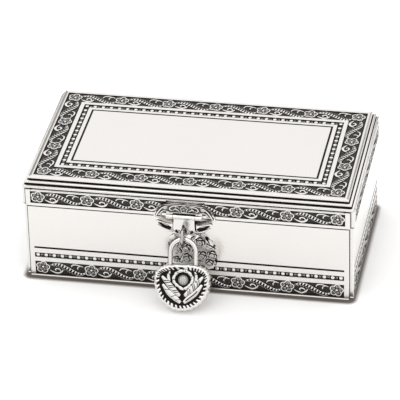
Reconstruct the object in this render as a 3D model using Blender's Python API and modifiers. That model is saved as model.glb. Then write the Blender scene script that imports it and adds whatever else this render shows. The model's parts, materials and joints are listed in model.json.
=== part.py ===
"""Locking jewelry box: a plated oblong box with a hinged lid, a hasp and a small padlock.

Metres, +Z up. The origin is the centre of the case's footprint, on the surface it stands on.
The front, with the hasp and the padlock, faces -Y.
"""

import math

import bmesh
import bpy
from mathutils import Matrix, Vector

MM = 0.001

# Case
CASE_LENGTH = 188.4 * MM
CASE_DEPTH = 105.4 * MM
CASE_HEIGHT = 46.8 * MM
CORNER_NOTCH = 2.3 * MM
SHEET = 1.0 * MM
CORE_WALL = 6.0 * MM
CORE_FLOOR = 5.0 * MM
BASE_PAD = 1.0 * MM
PLATE_EDGE_ROUND = 0.35 * MM

# Gaps that seated pieces keep, and how far a cutter runs past what it cuts
FIT = 0.3 * MM
SEAM = 0.3 * MM
OVERRUN = 1.0 * MM

# Bands of the case plates, from the foot up
BAND_MARGIN = 2.8 * MM
BAND_DEPTH = 0.45 * MM
FOOT_STRIP = 1.2 * MM
CASE_BAND = 8.8 * MM
STRIP = 2.7 * MM
BEAD_CHANNEL = 3.0 * MM
LINE_ABOVE_CHANNEL = 3.1 * MM
LINE_WIDTH = 0.8 * MM
LINE_DEPTH = 0.25 * MM

# Lid
LID_OVERHANG = 0.7 * MM
SKIRT_HEIGHT = 10.8 * MM
SKIRT_BAND_LIFT = 2.1 * MM
SKIRT_BAND = 7.7 * MM
MOULDING_INSET = 0.4 * MM
MOULDING_WIDTH = 5.0 * MM
MOULDING_HEIGHT = 4.1 * MM
PLATEAU_INSET = 3.1 * MM
PLATEAU_GAP = 0.6 * MM
PLATEAU_THICK = 1.5 * MM
PLATEAU_ROUND = 0.75 * MM
TOP_BORDER = 2.5 * MM
TOP_BAND = 10.0 * MM
TOP_STRIP = 2.3 * MM
TOP_CHANNEL = 3.4 * MM
LID_BOARD = 3.6 * MM

# Linings and cushions
LINING = 1.2 * MM
CUSHION = 3.2 * MM
CUSHION_CROWN = 2.0 * MM
CUSHION_DRAW = 1.2 * MM

# Rear hinges
HINGE_FROM_END = 39.2 * MM
HINGE_LENGTH = 24.0 * MM
LEAF_THICK = 0.8 * MM
LEAF_INNER_REACH = 7.2 * MM
KNUCKLE_RADIUS = 1.7 * MM
HINGE_PIN_RADIUS = 0.7 * MM
SCREW_SPACING = 16.0 * MM
SCREW_HEAD_RADIUS = 1.5 * MM
SCREW_HEAD_HEIGHT = 0.7 * MM
SCREW_SHANK_RADIUS = 0.75 * MM
SCREW_LENGTH = 5.6 * MM

# Hasp
HASP_X = -1.0 * MM
HASP_PLATE_THICK = 1.6 * MM
HASP_KNUCKLE_RADIUS = 1.5 * MM
HASP_PIN_RADIUS = 0.6 * MM
HASP_STAND_OFF = 0.2 * MM
HASP_WIDTH = 20.4 * MM
HASP_BAR_TOP = 9.3 * MM
HASP_BAR_FOOT = 4.3 * MM
HORN_REACH = 17.3 * MM
HASP_RIVET_X = 10.8 * MM
FLAP_KNUCKLE = 12.4 * MM
FLAP_THICK = 1.2 * MM
FLAP_DROP = 11.4 * MM
WING_REACH = 16.0 * MM
NOTCH_WIDTH = 2.8 * MM
NOTCH_TOP_DROP = 4.5 * MM

# Rivets
RIVET_HEAD_RADIUS = 1.3 * MM
RIVET_HEAD_HEIGHT = 0.7 * MM
RIVET_SHANK_RADIUS = 0.7 * MM
RIVET_REACH = 4.0 * MM

# Staple plate and eye
STAPLE_PLATE_THICK = 1.0 * MM
STAPLE_TOP_DROP = 5.8 * MM
STAPLE_HEIGHT = 26.8 * MM
STAPLE_LEFT = 10.8 * MM
STAPLE_RIGHT = 18.4 * MM
SPRAY_HEIGHT = 1.5 * MM
EYE_RING_RADIUS = 4.6 * MM
EYE_WIRE_RADIUS = 1.0 * MM
EYE_DROP = 8.3 * MM
EYE_SHANK_RADIUS = 1.25 * MM
EYE_SHANK_DEPTH = 5.0 * MM

# Padlock: its lean is worked out below, and its roll is in degrees
LOCK_ROLL = 3.0
SHACKLE_WIRE_RADIUS = 1.4 * MM
SHACKLE_ARCH_RADIUS = 7.3 * MM
LOCK_HALF_WIDTH = 16.3 * MM
LOCK_UPPER_HEIGHT = 9.5 * MM
LOCK_LOWER_HEIGHT = 17.5 * MM
LOCK_DROP = 23.1 * MM
LOCK_SQUARENESS = 2.85
LOCK_RIM_HALF = 2.2 * MM
LOCK_HALF_THICK = 4.0 * MM
LOCK_FIELD_SINK = 0.9 * MM
LOCK_RIM_WALL = 2.4 * MM
LOCK_FACE_WALL = 1.1 * MM
LOCK_SPLIT = 0.3 * MM
GADROON_COUNT = 28
GADROON_DEPTH = 0.45 * MM
GADROON_WIDTH = 3.6 * MM
ROSE_X = 0.8 * MM
ROSE_RISE = 0.3 * MM
ROSE_RADIUS = 2.9 * MM
ROSE_HEIGHT = 1.1 * MM
PETAL_RADIUS = 6.2 * MM
PETAL_HEIGHT = 0.5 * MM
LEAF_HEIGHT = 0.4 * MM
HEEL_DROP = 19.2 * MM
LEG_END_BELOW_HEEL = 2.0 * MM
HEEL_RIVET_RADIUS = 0.7 * MM
SHACKLE_SWING = 50.0
TOE_SLOT_EXTRA = 1.3 * MM

# Padlock works
LATCH_HEIGHT = 1.2 * MM
LATCH_DEPTH = 1.8 * MM
LATCH_THROW = 1.2 * MM
LATCH_TAIL_WIDTH = 1.2 * MM
LATCH_TAIL_DROP = 6.2 * MM
LATCH_TAIL_X = -0.5 * MM
LATCH_LIP = 1.5 * MM
GUIDE_X = 2.9 * MM
GUIDE_WIDTH = 2.0 * MM
GUIDE_HEIGHT = 1.2 * MM
BARREL_RADIUS = 2.4 * MM
BARREL_DROP = 26.6 * MM
BARREL_X = -3.1 * MM
CAM_REACH = 3.65 * MM
CAM_WIDTH = 1.2 * MM
KEYWAY_WIDTH = 0.9 * MM
KEYWAY_DEPTH = 2.0 * MM
SPRING_RADIUS = 0.75 * MM
SPRING_WIRE_RADIUS = 0.16 * MM
SPRING_TURNS = 5
SPRING_LENGTH = 3.0 * MM
CASE_PIN_RADIUS = 0.5 * MM

# Heights and faces worked out from the sizes above
LID_BASE = CASE_HEIGHT + SEAM
SKIRT_TOP = LID_BASE + SKIRT_HEIGHT
LID_LENGTH = CASE_LENGTH + 2 * LID_OVERHANG
LID_DEPTH = CASE_DEPTH + 2 * LID_OVERHANG
MOULDING_BASE = SKIRT_TOP + FIT
MOULDING_TOP = MOULDING_BASE + MOULDING_HEIGHT
PLATEAU_BASE = MOULDING_TOP + PLATEAU_GAP
LID_TOP = PLATEAU_BASE + PLATEAU_THICK
CASE_FRONT = -CASE_DEPTH / 2
LID_FRONT = -LID_DEPTH / 2
LID_BACK = LID_DEPTH / 2
HINGE_SPACING = CASE_LENGTH - 2 * HINGE_FROM_END
HINGE_AXIS_Y = LID_BACK + FIT + KNUCKLE_RADIUS
HINGE_AXIS_Z = CASE_HEIGHT + SEAM / 2
HASP_AXIS_Y = LID_FRONT - FIT - HASP_PLATE_THICK - HASP_STAND_OFF
HASP_AXIS_Z = LID_BASE + HASP_KNUCKLE_RADIUS
STAPLE_FACE = CASE_FRONT - FIT - STAPLE_PLATE_THICK
STAPLE_FOOT = CASE_HEIGHT - STAPLE_TOP_DROP - STAPLE_HEIGHT
EYE_HEIGHT = CASE_HEIGHT - EYE_DROP
EYE_Y = STAPLE_FACE - FIT - EYE_WIRE_RADIUS - EYE_RING_RADIUS
LOCK_PIVOT_Y = EYE_Y + FIT
LOCK_PIVOT_Z = EYE_HEIGHT - EYE_RING_RADIUS + EYE_WIRE_RADIUS + FIT + SHACKLE_WIRE_RADIUS

# The padlock leans out until the foot of its back half stands on the table, in radians
LOCK_FOOT = LOCK_DROP + LOCK_LOWER_HEIGHT
LOCK_REACH = math.hypot(LOCK_FOOT, LOCK_RIM_HALF)
LOCK_LEAN = math.acos(min(LOCK_PIVOT_Z / LOCK_REACH, 1.0)) + math.atan2(LOCK_RIM_HALF, LOCK_FOOT)

SILVER = ("polished_silver", (0.86, 0.85, 0.83), 0.16, 1.0)
OXIDISED = ("oxidised_silver", (0.42, 0.41, 0.39), 0.38, 1.0)
STEEL = ("hinge_steel", (0.62, 0.61, 0.58), 0.3, 1.0)
BRASS = ("lock_brass", (0.72, 0.56, 0.28), 0.32, 1.0)
WOOD = ("carcass_wood", (0.36, 0.22, 0.12), 0.6, 0.0)
VELVET = ("lining_velvet", (0.05, 0.06, 0.16), 0.95, 0.0)
FELT = ("base_felt", (0.05, 0.05, 0.055), 0.98, 0.0)

ROUND = 24
SMALL_ROUND = 12


def clear_scene():
    for obj in list(bpy.data.objects):
        bpy.data.objects.remove(obj, do_unlink=True)


def get_collection(name):
    found = bpy.data.collections.get(name)
    if found is None:
        found = bpy.data.collections.new(name)
        bpy.context.scene.collection.children.link(found)
    return found


def get_material(finish):
    name, colour, roughness, metallic = finish
    found = bpy.data.materials.get(name)
    if found is None:
        found = bpy.data.materials.new(name)
        found.use_nodes = True
        shader = found.node_tree.nodes["Principled BSDF"]
        shader.inputs["Base Color"].default_value = (*colour, 1.0)
        shader.inputs["Roughness"].default_value = roughness
        shader.inputs["Metallic"].default_value = metallic
    return found


def keep(obj, finish, parent=None):
    """File an object as a part, or as a cutter when it has no finish."""
    for holder in list(obj.users_collection):
        holder.objects.unlink(obj)
    if finish is None:
        get_collection("cutters").objects.link(obj)
        obj.hide_render = True
        obj.display_type = "WIRE"
    else:
        get_collection("jewelry_box").objects.link(obj)
        obj.data.materials.clear()
        obj.data.materials.append(get_material(finish))
    if parent is not None:
        obj.parent = parent
    return obj


def object_from(name, shape, finish=None, parent=None):
    mesh = bpy.data.meshes.new(name)
    shape.to_mesh(mesh)
    shape.free()
    return keep(bpy.data.objects.new(name, mesh), finish, parent)


def box(name, low, high, finish=None, parent=None):
    """A box between two corners."""
    low = Vector(low)
    high = Vector(high)
    shape = bmesh.new()
    place = Matrix.Translation((low + high) / 2) @ Matrix.Diagonal((*(high - low), 1.0))
    bmesh.ops.create_cube(shape, size=1.0, matrix=place)
    return object_from(name, shape, finish, parent)


def rod(name, radius, start, end, finish=None, parent=None, sides=ROUND):
    """A cylinder from one point to another."""
    start = Vector(start)
    end = Vector(end)
    along = end - start
    turn = along.to_track_quat("Z", "Y").to_matrix().to_4x4()
    shape = bmesh.new()
    bmesh.ops.create_cone(
        shape, cap_ends=True, segments=sides, radius1=radius, radius2=radius,
        depth=along.length, matrix=Matrix.Translation((start + end) / 2) @ turn)
    made = object_from(name, shape, finish, parent)
    smooth(made)
    return made


def smooth(obj):
    obj.data.shade_smooth()
    obj.data.set_sharp_from_angle(angle=math.radians(40))


def turned(name, profile, origin, turn, finish=None, parent=None, sides=ROUND):
    """A turned shape: its profile of (radius, height) points runs down the outer side."""
    shape = bmesh.new()
    points = [shape.verts.new((radius, 0, height)) for radius, height in profile]
    for upper, lower in zip(points, points[1:]):
        shape.edges.new((upper, lower))
    made = object_from(name, shape, finish, parent)
    made.location = origin
    made.rotation_euler = turn
    screw = made.modifiers.new("turn", "SCREW")
    screw.steps = sides
    screw.render_steps = sides
    screw.use_merge_vertices = True
    screw.merge_threshold = 0.00001
    screw.use_smooth_shade = True
    return made


def boolean(target, tool, operation="DIFFERENCE"):
    step = target.modifiers.new(operation.lower(), "BOOLEAN")
    step.operation = operation
    step.solver = "EXACT"
    step.object = tool
    return target


def cut(target, *tools):
    for tool in tools:
        boolean(target, tool, "DIFFERENCE")


def join(target, *tools):
    for tool in tools:
        boolean(target, tool, "UNION")


def curve_to_mesh(curve_object):
    """A welded mesh in place of a curve."""
    bpy.context.scene.collection.objects.link(curve_object)
    bpy.context.view_layer.update()
    graph = bpy.context.evaluated_depsgraph_get()
    mesh = bpy.data.meshes.new_from_object(curve_object.evaluated_get(graph))
    shape = bmesh.new()
    shape.from_mesh(mesh)
    bmesh.ops.remove_doubles(shape, verts=shape.verts, dist=0.000001)
    shape.to_mesh(mesh)
    shape.free()
    made = bpy.data.objects.new(curve_object.name + "_mesh", mesh)
    made.matrix_world = curve_object.matrix_world.copy()
    bpy.data.objects.remove(curve_object, do_unlink=True)
    return made


def wire(name, points, radius, finish, parent=None, resolution=2):
    """A round wire along a list of points."""
    curve = bpy.data.curves.new(name, "CURVE")
    curve.dimensions = "3D"
    curve.bevel_depth = radius
    curve.bevel_resolution = resolution
    curve.use_fill_caps = True
    spline = curve.splines.new("POLY")
    spline.points.add(len(points) - 1)
    for point, place in zip(spline.points, points):
        point.co = (*place, 1.0)
    made = curve_to_mesh(bpy.data.objects.new(name + "_curve", curve))
    made.name = name
    smooth(made)
    return keep(made, finish, parent)


def outline_plate(name, points, front, thick, finish, corners=()):
    """A flat plate in the XZ plane. Its outline is a smooth closed curve, but for its corners."""
    curve = bpy.data.curves.new(name, "CURVE")
    curve.dimensions = "2D"
    curve.fill_mode = "BOTH"
    curve.extrude = thick / 2
    curve.resolution_u = 3
    spline = curve.splines.new("BEZIER")
    spline.bezier_points.add(len(points) - 1)
    spline.use_cyclic_u = True
    for knot, (x, z) in zip(spline.bezier_points, points):
        bend = "VECTOR" if (x, z) in corners else "AUTO"
        knot.co = (x, z, 0)
        knot.handle_left_type = bend
        knot.handle_right_type = bend
    made = curve_to_mesh(bpy.data.objects.new(name + "_curve", curve))
    made.name = name
    upright = Matrix.Translation((0, front + thick / 2, 0)) @ Matrix.Rotation(math.pi / 2, 4, "X")
    made.data.transform(upright)
    made.matrix_world = Matrix.Identity(4)
    smooth(made)
    return keep(made, finish)


def stacked_rectangles(name, half_length, half_depth, steps, closed, finish):
    """A mitred form: rectangles that step in from the outer edge, at their own heights."""
    shape = bmesh.new()
    rings = []
    for inset, height in steps:
        x = half_length - inset
        y = half_depth - inset
        rings.append([shape.verts.new((sx * x, sy * y, height))
                      for sx, sy in ((-1, -1), (1, -1), (1, 1), (-1, 1))])
    pairs = list(zip(rings, rings[1:]))
    if closed:
        pairs.append((rings[-1], rings[0]))
    for lower, upper in pairs:
        for side in range(4):
            after = (side + 1) % 4
            shape.faces.new((lower[side], lower[after], upper[after], upper[side]))
    if not closed:
        shape.faces.new(reversed(rings[0]))
        shape.faces.new(rings[-1])
    bmesh.ops.recalc_face_normals(shape, faces=shape.faces)
    return object_from(name, shape, finish)


def bevelled(obj, width, segments=2):
    step = obj.modifiers.new("edge_round", "BEVEL")
    step.width = width
    step.segments = segments
    step.limit_method = "ANGLE"
    step.angle_limit = math.radians(50)
    return obj


def pressed_plate(name, length, height, bands, place, turn):
    """A pressed tray: folded edges, open at the back, with sunk bands. Its face looks to -Y."""
    tray = box(name, (-length / 2, 0, 0), (length / 2, CORNER_NOTCH, height), SILVER)
    bevelled(tray, PLATE_EDGE_ROUND)
    hollow = box(name + "_hollow", (-length / 2 + SHEET, SHEET, SHEET),
                 (length / 2 - SHEET, CORNER_NOTCH + OVERRUN, height - SHEET))
    cut(tray, hollow)
    tools = [hollow]
    for index, (low, high, depth) in enumerate(bands):
        band = box(f"{name}_band_{index}", (-length / 2 + BAND_MARGIN, -OVERRUN, low),
                   (length / 2 - BAND_MARGIN, depth, high))
        cut(tray, band)
        tools.append(band)
    for obj in [tray] + tools:
        obj.location = place
        obj.rotation_euler = (0, 0, turn)
    return tray


def four_sides(length, depth, base):
    """Name, panel length, place and turn of the four plates round a box."""
    return (
        ("front", length - 2 * CORNER_NOTCH, (0, -depth / 2, base), 0.0),
        ("right", depth - 2 * CORNER_NOTCH, (length / 2, 0, base), math.pi / 2),
        ("back", length - 2 * CORNER_NOTCH, (0, depth / 2, base), math.pi),
        ("left", depth - 2 * CORNER_NOTCH, (-length / 2, 0, base), -math.pi / 2),
    )


def make_case_plates():
    band_top = FOOT_STRIP + CASE_BAND
    channel = band_top + STRIP
    line = channel + BEAD_CHANNEL + LINE_ABOVE_CHANNEL
    bands = (
        (FOOT_STRIP, band_top, BAND_DEPTH),
        (channel, channel + BEAD_CHANNEL, BAND_DEPTH),
        (line, line + LINE_WIDTH, LINE_DEPTH),
    )
    plates = {}
    for side, length, place, turn in four_sides(CASE_LENGTH, CASE_DEPTH, 0.0):
        plates[side] = pressed_plate(f"case_{side}_plate", length, CASE_HEIGHT, bands, place, turn)
    return plates


def make_lid_skirts():
    bands = ((SKIRT_BAND_LIFT, SKIRT_BAND_LIFT + SKIRT_BAND, BAND_DEPTH),)
    skirts = {}
    for side, length, place, turn in four_sides(LID_LENGTH, LID_DEPTH, LID_BASE):
        skirts[side] = pressed_plate(f"lid_{side}_skirt", length, SKIRT_HEIGHT, bands, place, turn)
    return skirts


def carcass_blocks(name, length, depth, low, high):
    """The body of a carcass, and the two blocks that fill the trays round it."""
    core_x = length / 2 - CORNER_NOTCH - FIT
    core_y = depth / 2 - CORNER_NOTCH - FIT
    fill_x = length / 2 - SHEET - FIT
    fill_y = depth / 2 - SHEET - FIT
    across_x = core_x - SHEET - FIT
    across_y = core_y - SHEET - FIT
    lift = SHEET
    body = box(name, (-core_x, -core_y, low), (core_x, core_y, high), WOOD)
    along = box(name + "_side_fill", (-fill_x, -across_y, low + lift), (fill_x, across_y, high - lift))
    over = box(name + "_front_fill", (-across_x, -fill_y, low + lift), (across_x, fill_y, high - lift))
    join(body, along, over)
    return body, core_x, core_y


def make_case_core():
    low = BASE_PAD + FIT
    high = CASE_HEIGHT - FIT
    core, core_x, core_y = carcass_blocks("case_core", CASE_LENGTH, CASE_DEPTH, low, high)
    room_x = core_x - CORE_WALL
    room_y = core_y - CORE_WALL
    floor = low + CORE_FLOOR
    room = box("case_room", (-room_x, -room_y, floor), (room_x, room_y, high + OVERRUN))
    cut(core, room)
    make_lining("case", room_x, room_y, floor, high, 1)
    return core


def make_lining(name, room_x, room_y, deep, rim, up):
    """A fabric-covered liner and its cushion. Its open side looks up (1) or down (-1)."""
    outer_x = room_x - FIT
    outer_y = room_y - FIT
    back = deep + up * FIT
    front = rim - up * FIT
    liner = box(f"{name}_lining", (-outer_x, -outer_y, min(back, front)),
                (outer_x, outer_y, max(back, front)), VELVET)
    inner = back + up * LINING
    mouth = front + up * OVERRUN
    hollow = box(f"{name}_lining_hollow",
                 (-outer_x + LINING, -outer_y + LINING, min(inner, mouth)),
                 (outer_x - LINING, outer_y - LINING, max(inner, mouth)))
    cut(liner, hollow)
    cushion_name = "case_floor_pad" if up > 0 else "lid_pad"
    make_cushion(cushion_name, outer_x - LINING - FIT, outer_y - LINING - FIT, inner + up * FIT, up)


def make_cushion(name, half_x, half_y, seat, up):
    """A crowned pad whose sides draw in between its corners."""
    shape = bmesh.new()
    bmesh.ops.create_cube(shape, size=1.0)
    bmesh.ops.subdivide_edges(shape, edges=shape.edges, cuts=4, use_grid_fill=True)
    for vert in shape.verts:
        u = 2 * vert.co.x
        v = 2 * vert.co.y
        crown = math.cos(u * math.pi / 2) * math.cos(v * math.pi / 2)
        draw_x = CUSHION_DRAW * (1 - v * v)
        draw_y = CUSHION_DRAW * (1 - u * u)
        upper = vert.co.z + 1 / 2
        vert.co.x = u * (half_x - draw_x)
        vert.co.y = v * (half_y - draw_y)
        vert.co.z = seat + up * upper * (CUSHION + CUSHION_CROWN * crown)
    if up < 0:
        bmesh.ops.reverse_faces(shape, faces=shape.faces)
    pad = object_from(name, shape, VELVET)
    soften = pad.modifiers.new("soften", "SUBSURF")
    soften.levels = 1
    soften.render_levels = 1
    smooth(pad)


def make_base_pad():
    half_x = CASE_LENGTH / 2 - CORNER_NOTCH - FIT
    half_y = CASE_DEPTH / 2 - CORNER_NOTCH - FIT
    box("base_pad", (-half_x, -half_y, 0), (half_x, half_y, BASE_PAD), FELT)


def make_lid_core():
    low = LID_BASE + FIT
    core, core_x, core_y = carcass_blocks("lid_core", LID_LENGTH, LID_DEPTH, low, SKIRT_TOP)
    ring_x = CASE_LENGTH / 2 + LID_OVERHANG - MOULDING_INSET - MOULDING_WIDTH - FIT
    ring_y = CASE_DEPTH / 2 + LID_OVERHANG - MOULDING_INSET - MOULDING_WIDTH - FIT
    board = box("lid_board", (-ring_x, -ring_y, SKIRT_TOP - OVERRUN),
                (ring_x, ring_y, PLATEAU_BASE - FIT))
    join(core, board)
    room_x = core_x - CORE_WALL
    room_y = core_y - CORE_WALL
    ceiling = PLATEAU_BASE - FIT - LID_BOARD
    room = box("lid_room", (-room_x, -room_y, low - OVERRUN), (room_x, room_y, ceiling))
    cut(core, room)
    make_lining("lid", room_x, room_y, ceiling, low, -1)
    return core


def make_lid_moulding():
    """Two ribs with grooves between, mitred round the lid."""
    reach = MOULDING_WIDTH
    rise = MOULDING_HEIGHT
    shares = (
        (1.00, 0.00), (0.18, 0.00), (0.10, 0.05), (0.03, 0.13), (0.00, 0.24), (0.03, 0.35),
        (0.12, 0.43), (0.34, 0.46), (0.43, 0.53), (0.38, 0.62), (0.30, 0.69), (0.28, 0.79),
        (0.32, 0.89), (0.42, 0.95), (0.64, 1.00), (1.00, 1.00),
    )
    steps = [(in_share * reach, MOULDING_BASE + up_share * rise) for in_share, up_share in shares]
    stacked_rectangles("lid_moulding", LID_LENGTH / 2 - MOULDING_INSET,
                       LID_DEPTH / 2 - MOULDING_INSET, steps, True, SILVER)


def make_lid_top_plate():
    """The raised plateau: rounded edge, border, sunk band, bead channel, engraved line."""
    round_shares = ((0.30, 0.00), (0.05, 0.22), (0.00, 0.50), (0.07, 0.72), (0.30, 0.92), (0.75, 1.00))
    steps = []
    for in_share, up_share in round_shares:
        lift = up_share * PLATEAU_THICK
        steps.append((in_share * PLATEAU_ROUND, PLATEAU_BASE + lift))
    inset = TOP_BORDER
    for width, depth, strip in ((TOP_BAND, BAND_DEPTH, TOP_STRIP), (TOP_CHANNEL, BAND_DEPTH, TOP_STRIP),
                                (LINE_WIDTH, LINE_DEPTH, TOP_STRIP)):
        wall = depth / 4
        steps.append((inset, LID_TOP))
        steps.append((inset + wall, LID_TOP - depth))
        steps.append((inset + width - wall, LID_TOP - depth))
        steps.append((inset + width, LID_TOP))
        inset += width + strip
    stacked_rectangles("lid_top_plate", LID_LENGTH / 2 - MOULDING_INSET - PLATEAU_INSET,
                       LID_DEPTH / 2 - MOULDING_INSET - PLATEAU_INSET, steps, False, SILVER)


def screw_profile(clearance):
    """Countersunk screw, head up at z = 0, or its hole when it has a clearance."""
    head = SCREW_HEAD_RADIUS + clearance
    shank = SCREW_SHANK_RADIUS + clearance
    top = OVERRUN if clearance else 0.0
    end = SCREW_LENGTH + clearance
    return ((0, top), (head, top), (head, -clearance), (shank, -SCREW_HEAD_HEIGHT - clearance),
            (shank, -end), (0, -end - shank / 2))


def make_hinge_leaf(name, x, upper, holders):
    """One leaf, let into the rim. The lower leaf has two knuckles, the upper one has one."""
    side = 1 if upper else -1
    rim = LID_BASE if upper else CASE_HEIGHT
    inner = LID_BACK - LEAF_INNER_REACH
    third = HINGE_LENGTH / 3
    low_z, high_z = sorted((rim, rim + side * LEAF_THICK))
    knuckle_clear = HINGE_AXIS_Y - KNUCKLE_RADIUS - FIT
    leaf = box(name, (x - HINGE_LENGTH / 2, inner, low_z), (x + HINGE_LENGTH / 2, knuckle_clear, high_z),
               STEEL)
    spans = [(-third / 2 + FIT / 2, third / 2 - FIT / 2)]
    if not upper:
        spans = [(-HINGE_LENGTH / 2, -third / 2 - FIT / 2), (third / 2 + FIT / 2, HINGE_LENGTH / 2)]
    for index, (start, end) in enumerate(spans):
        tab = box(f"{name}_tab_{index}", (x + start, knuckle_clear - OVERRUN, low_z),
                  (x + end, HINGE_AXIS_Y - KNUCKLE_RADIUS / 2, high_z))
        knuckle = rod(f"{name}_knuckle_{index}", KNUCKLE_RADIUS, (x + start, HINGE_AXIS_Y, HINGE_AXIS_Z),
                      (x + end, HINGE_AXIS_Y, HINGE_AXIS_Z))
        join(leaf, tab, knuckle)
    bore = rod(f"{name}_bore", HINGE_PIN_RADIUS + FIT, (x - HINGE_LENGTH, HINGE_AXIS_Y, HINGE_AXIS_Z),
               (x + HINGE_LENGTH, HINGE_AXIS_Y, HINGE_AXIS_Z))
    cut(leaf, bore)
    seat_low, seat_high = sorted((rim - side * OVERRUN, rim + side * (LEAF_THICK + FIT)))
    seat = box(f"{name}_seat", (x - HINGE_LENGTH / 2 - FIT, inner - FIT, seat_low),
               (x + HINGE_LENGTH / 2 + FIT, LID_BACK + OVERRUN, seat_high))
    for holder in holders:
        cut(holder, seat)
    turn = (0.0, 0.0, 0.0) if not upper else (math.pi, 0.0, 0.0)
    screw_y = (inner + knuckle_clear) / 2
    for number, offset in ((1, -SCREW_SPACING / 2), (2, SCREW_SPACING / 2)):
        origin = (x + offset, screw_y, rim)
        hole = turned(f"{name}_hole_{number}", screw_profile(FIT), origin, turn, sides=SMALL_ROUND)
        cut(leaf, hole)
        cut(holders[0], hole)
        turned(f"{name}_screw_{number}", screw_profile(0.0), origin, turn, STEEL, sides=SMALL_ROUND)


def make_hinges(case_core, case_back, lid_core, lid_back):
    for side, x in (("left", -HINGE_SPACING / 2), ("right", HINGE_SPACING / 2)):
        make_hinge_leaf(f"hinge_{side}_lower_leaf", x, False, (case_core, case_back))
        make_hinge_leaf(f"hinge_{side}_upper_leaf", x, True, (lid_core, lid_back))
        rod(f"hinge_{side}_pin", HINGE_PIN_RADIUS, (x - HINGE_LENGTH / 2, HINGE_AXIS_Y, HINGE_AXIS_Z),
            (x + HINGE_LENGTH / 2, HINGE_AXIS_Y, HINGE_AXIS_Z), STEEL, sides=SMALL_ROUND)


def mirrored(half):
    """A closed outline from its right half, which runs from the top middle to the bottom middle."""
    left = [(-x, z) for x, z in reversed(half) if x > 0]
    return half + left


def placed(shares, width, height, base):
    """Points about the hasp's middle from shares of a width and a height."""
    return [(HASP_X + x_share * width, base + z_share * height) for x_share, z_share in shares]


def make_rivet(name, x, z, plate_face, holders):
    """A domed rivet through a plate and its holders, looking to -Y."""
    profile = [(0.0, RIVET_HEAD_HEIGHT)]
    rings = 3
    for ring in range(1, rings + 1):
        angle = ring * math.pi / 2 / rings
        profile.append((RIVET_HEAD_RADIUS * math.sin(angle), RIVET_HEAD_HEIGHT * math.cos(angle) ** 2))
    profile += [(RIVET_SHANK_RADIUS, 0.0), (RIVET_SHANK_RADIUS, -RIVET_REACH), (0.0, -RIVET_REACH)]
    origin = (x, plate_face - FIT, z)
    turned(name, profile, origin, (math.pi / 2, 0, 0), OXIDISED, sides=SMALL_ROUND)
    hole = rod(name + "_hole", RIVET_SHANK_RADIUS + FIT, (x, plate_face - OVERRUN, z),
               (x, plate_face - FIT + RIVET_REACH + FIT, z), sides=SMALL_ROUND)
    for holder in holders:
        cut(holder, hole)


def make_hasp_plate(lid_core, lid_front):
    """The bar on the lid: a floral bar, two scrolled horns and the outer hinge knuckles."""
    half_shares = [
        (0.00, 1.00), (0.55, 0.98), (0.76, 0.84), (0.91, 0.55), (1.00, 0.20), (0.98, -0.10),
        (0.90, 0.08), (0.81, 0.34), (0.66, 0.46), (0.34, 0.47), (0.00, 0.46),
    ]
    points = placed(mirrored(half_shares), HORN_REACH, HASP_BAR_TOP, LID_BASE)
    front = LID_FRONT - FIT - HASP_PLATE_THICK
    plate = outline_plate("hasp_lid_plate", points, front, HASP_PLATE_THICK, OXIDISED)
    inner = FLAP_KNUCKLE / 2 + FIT
    outer = HASP_WIDTH / 2
    for side in (-1, 1):
        start, end = sorted((HASP_X + side * inner, HASP_X + side * outer))
        ear = box(f"hasp_ear_{side}", (start, front + FIT, HASP_AXIS_Z),
                  (end, front + FLAP_THICK, LID_BASE + HASP_BAR_FOOT + OVERRUN))
        knuckle = rod(f"hasp_plate_knuckle_{side}", HASP_KNUCKLE_RADIUS, (start, HASP_AXIS_Y, HASP_AXIS_Z),
                      (end, HASP_AXIS_Y, HASP_AXIS_Z), sides=SMALL_ROUND)
        join(plate, ear, knuckle)
    cut(plate, hasp_bore("hasp_plate_bore"))
    rivet_z = LID_BASE + (HASP_BAR_TOP + HASP_BAR_FOOT) / 2
    for number, x in ((1, HASP_X - HASP_RIVET_X), (2, HASP_X + HASP_RIVET_X)):
        make_rivet(f"hasp_plate_rivet_{number}", x, rivet_z, front, (plate, lid_front, lid_core))


def hasp_bore(name):
    return rod(name, HASP_PIN_RADIUS + FIT, (HASP_X - HASP_WIDTH, HASP_AXIS_Y, HASP_AXIS_Z),
               (HASP_X + HASP_WIDTH, HASP_AXIS_Y, HASP_AXIS_Z), sides=SMALL_ROUND)


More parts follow.
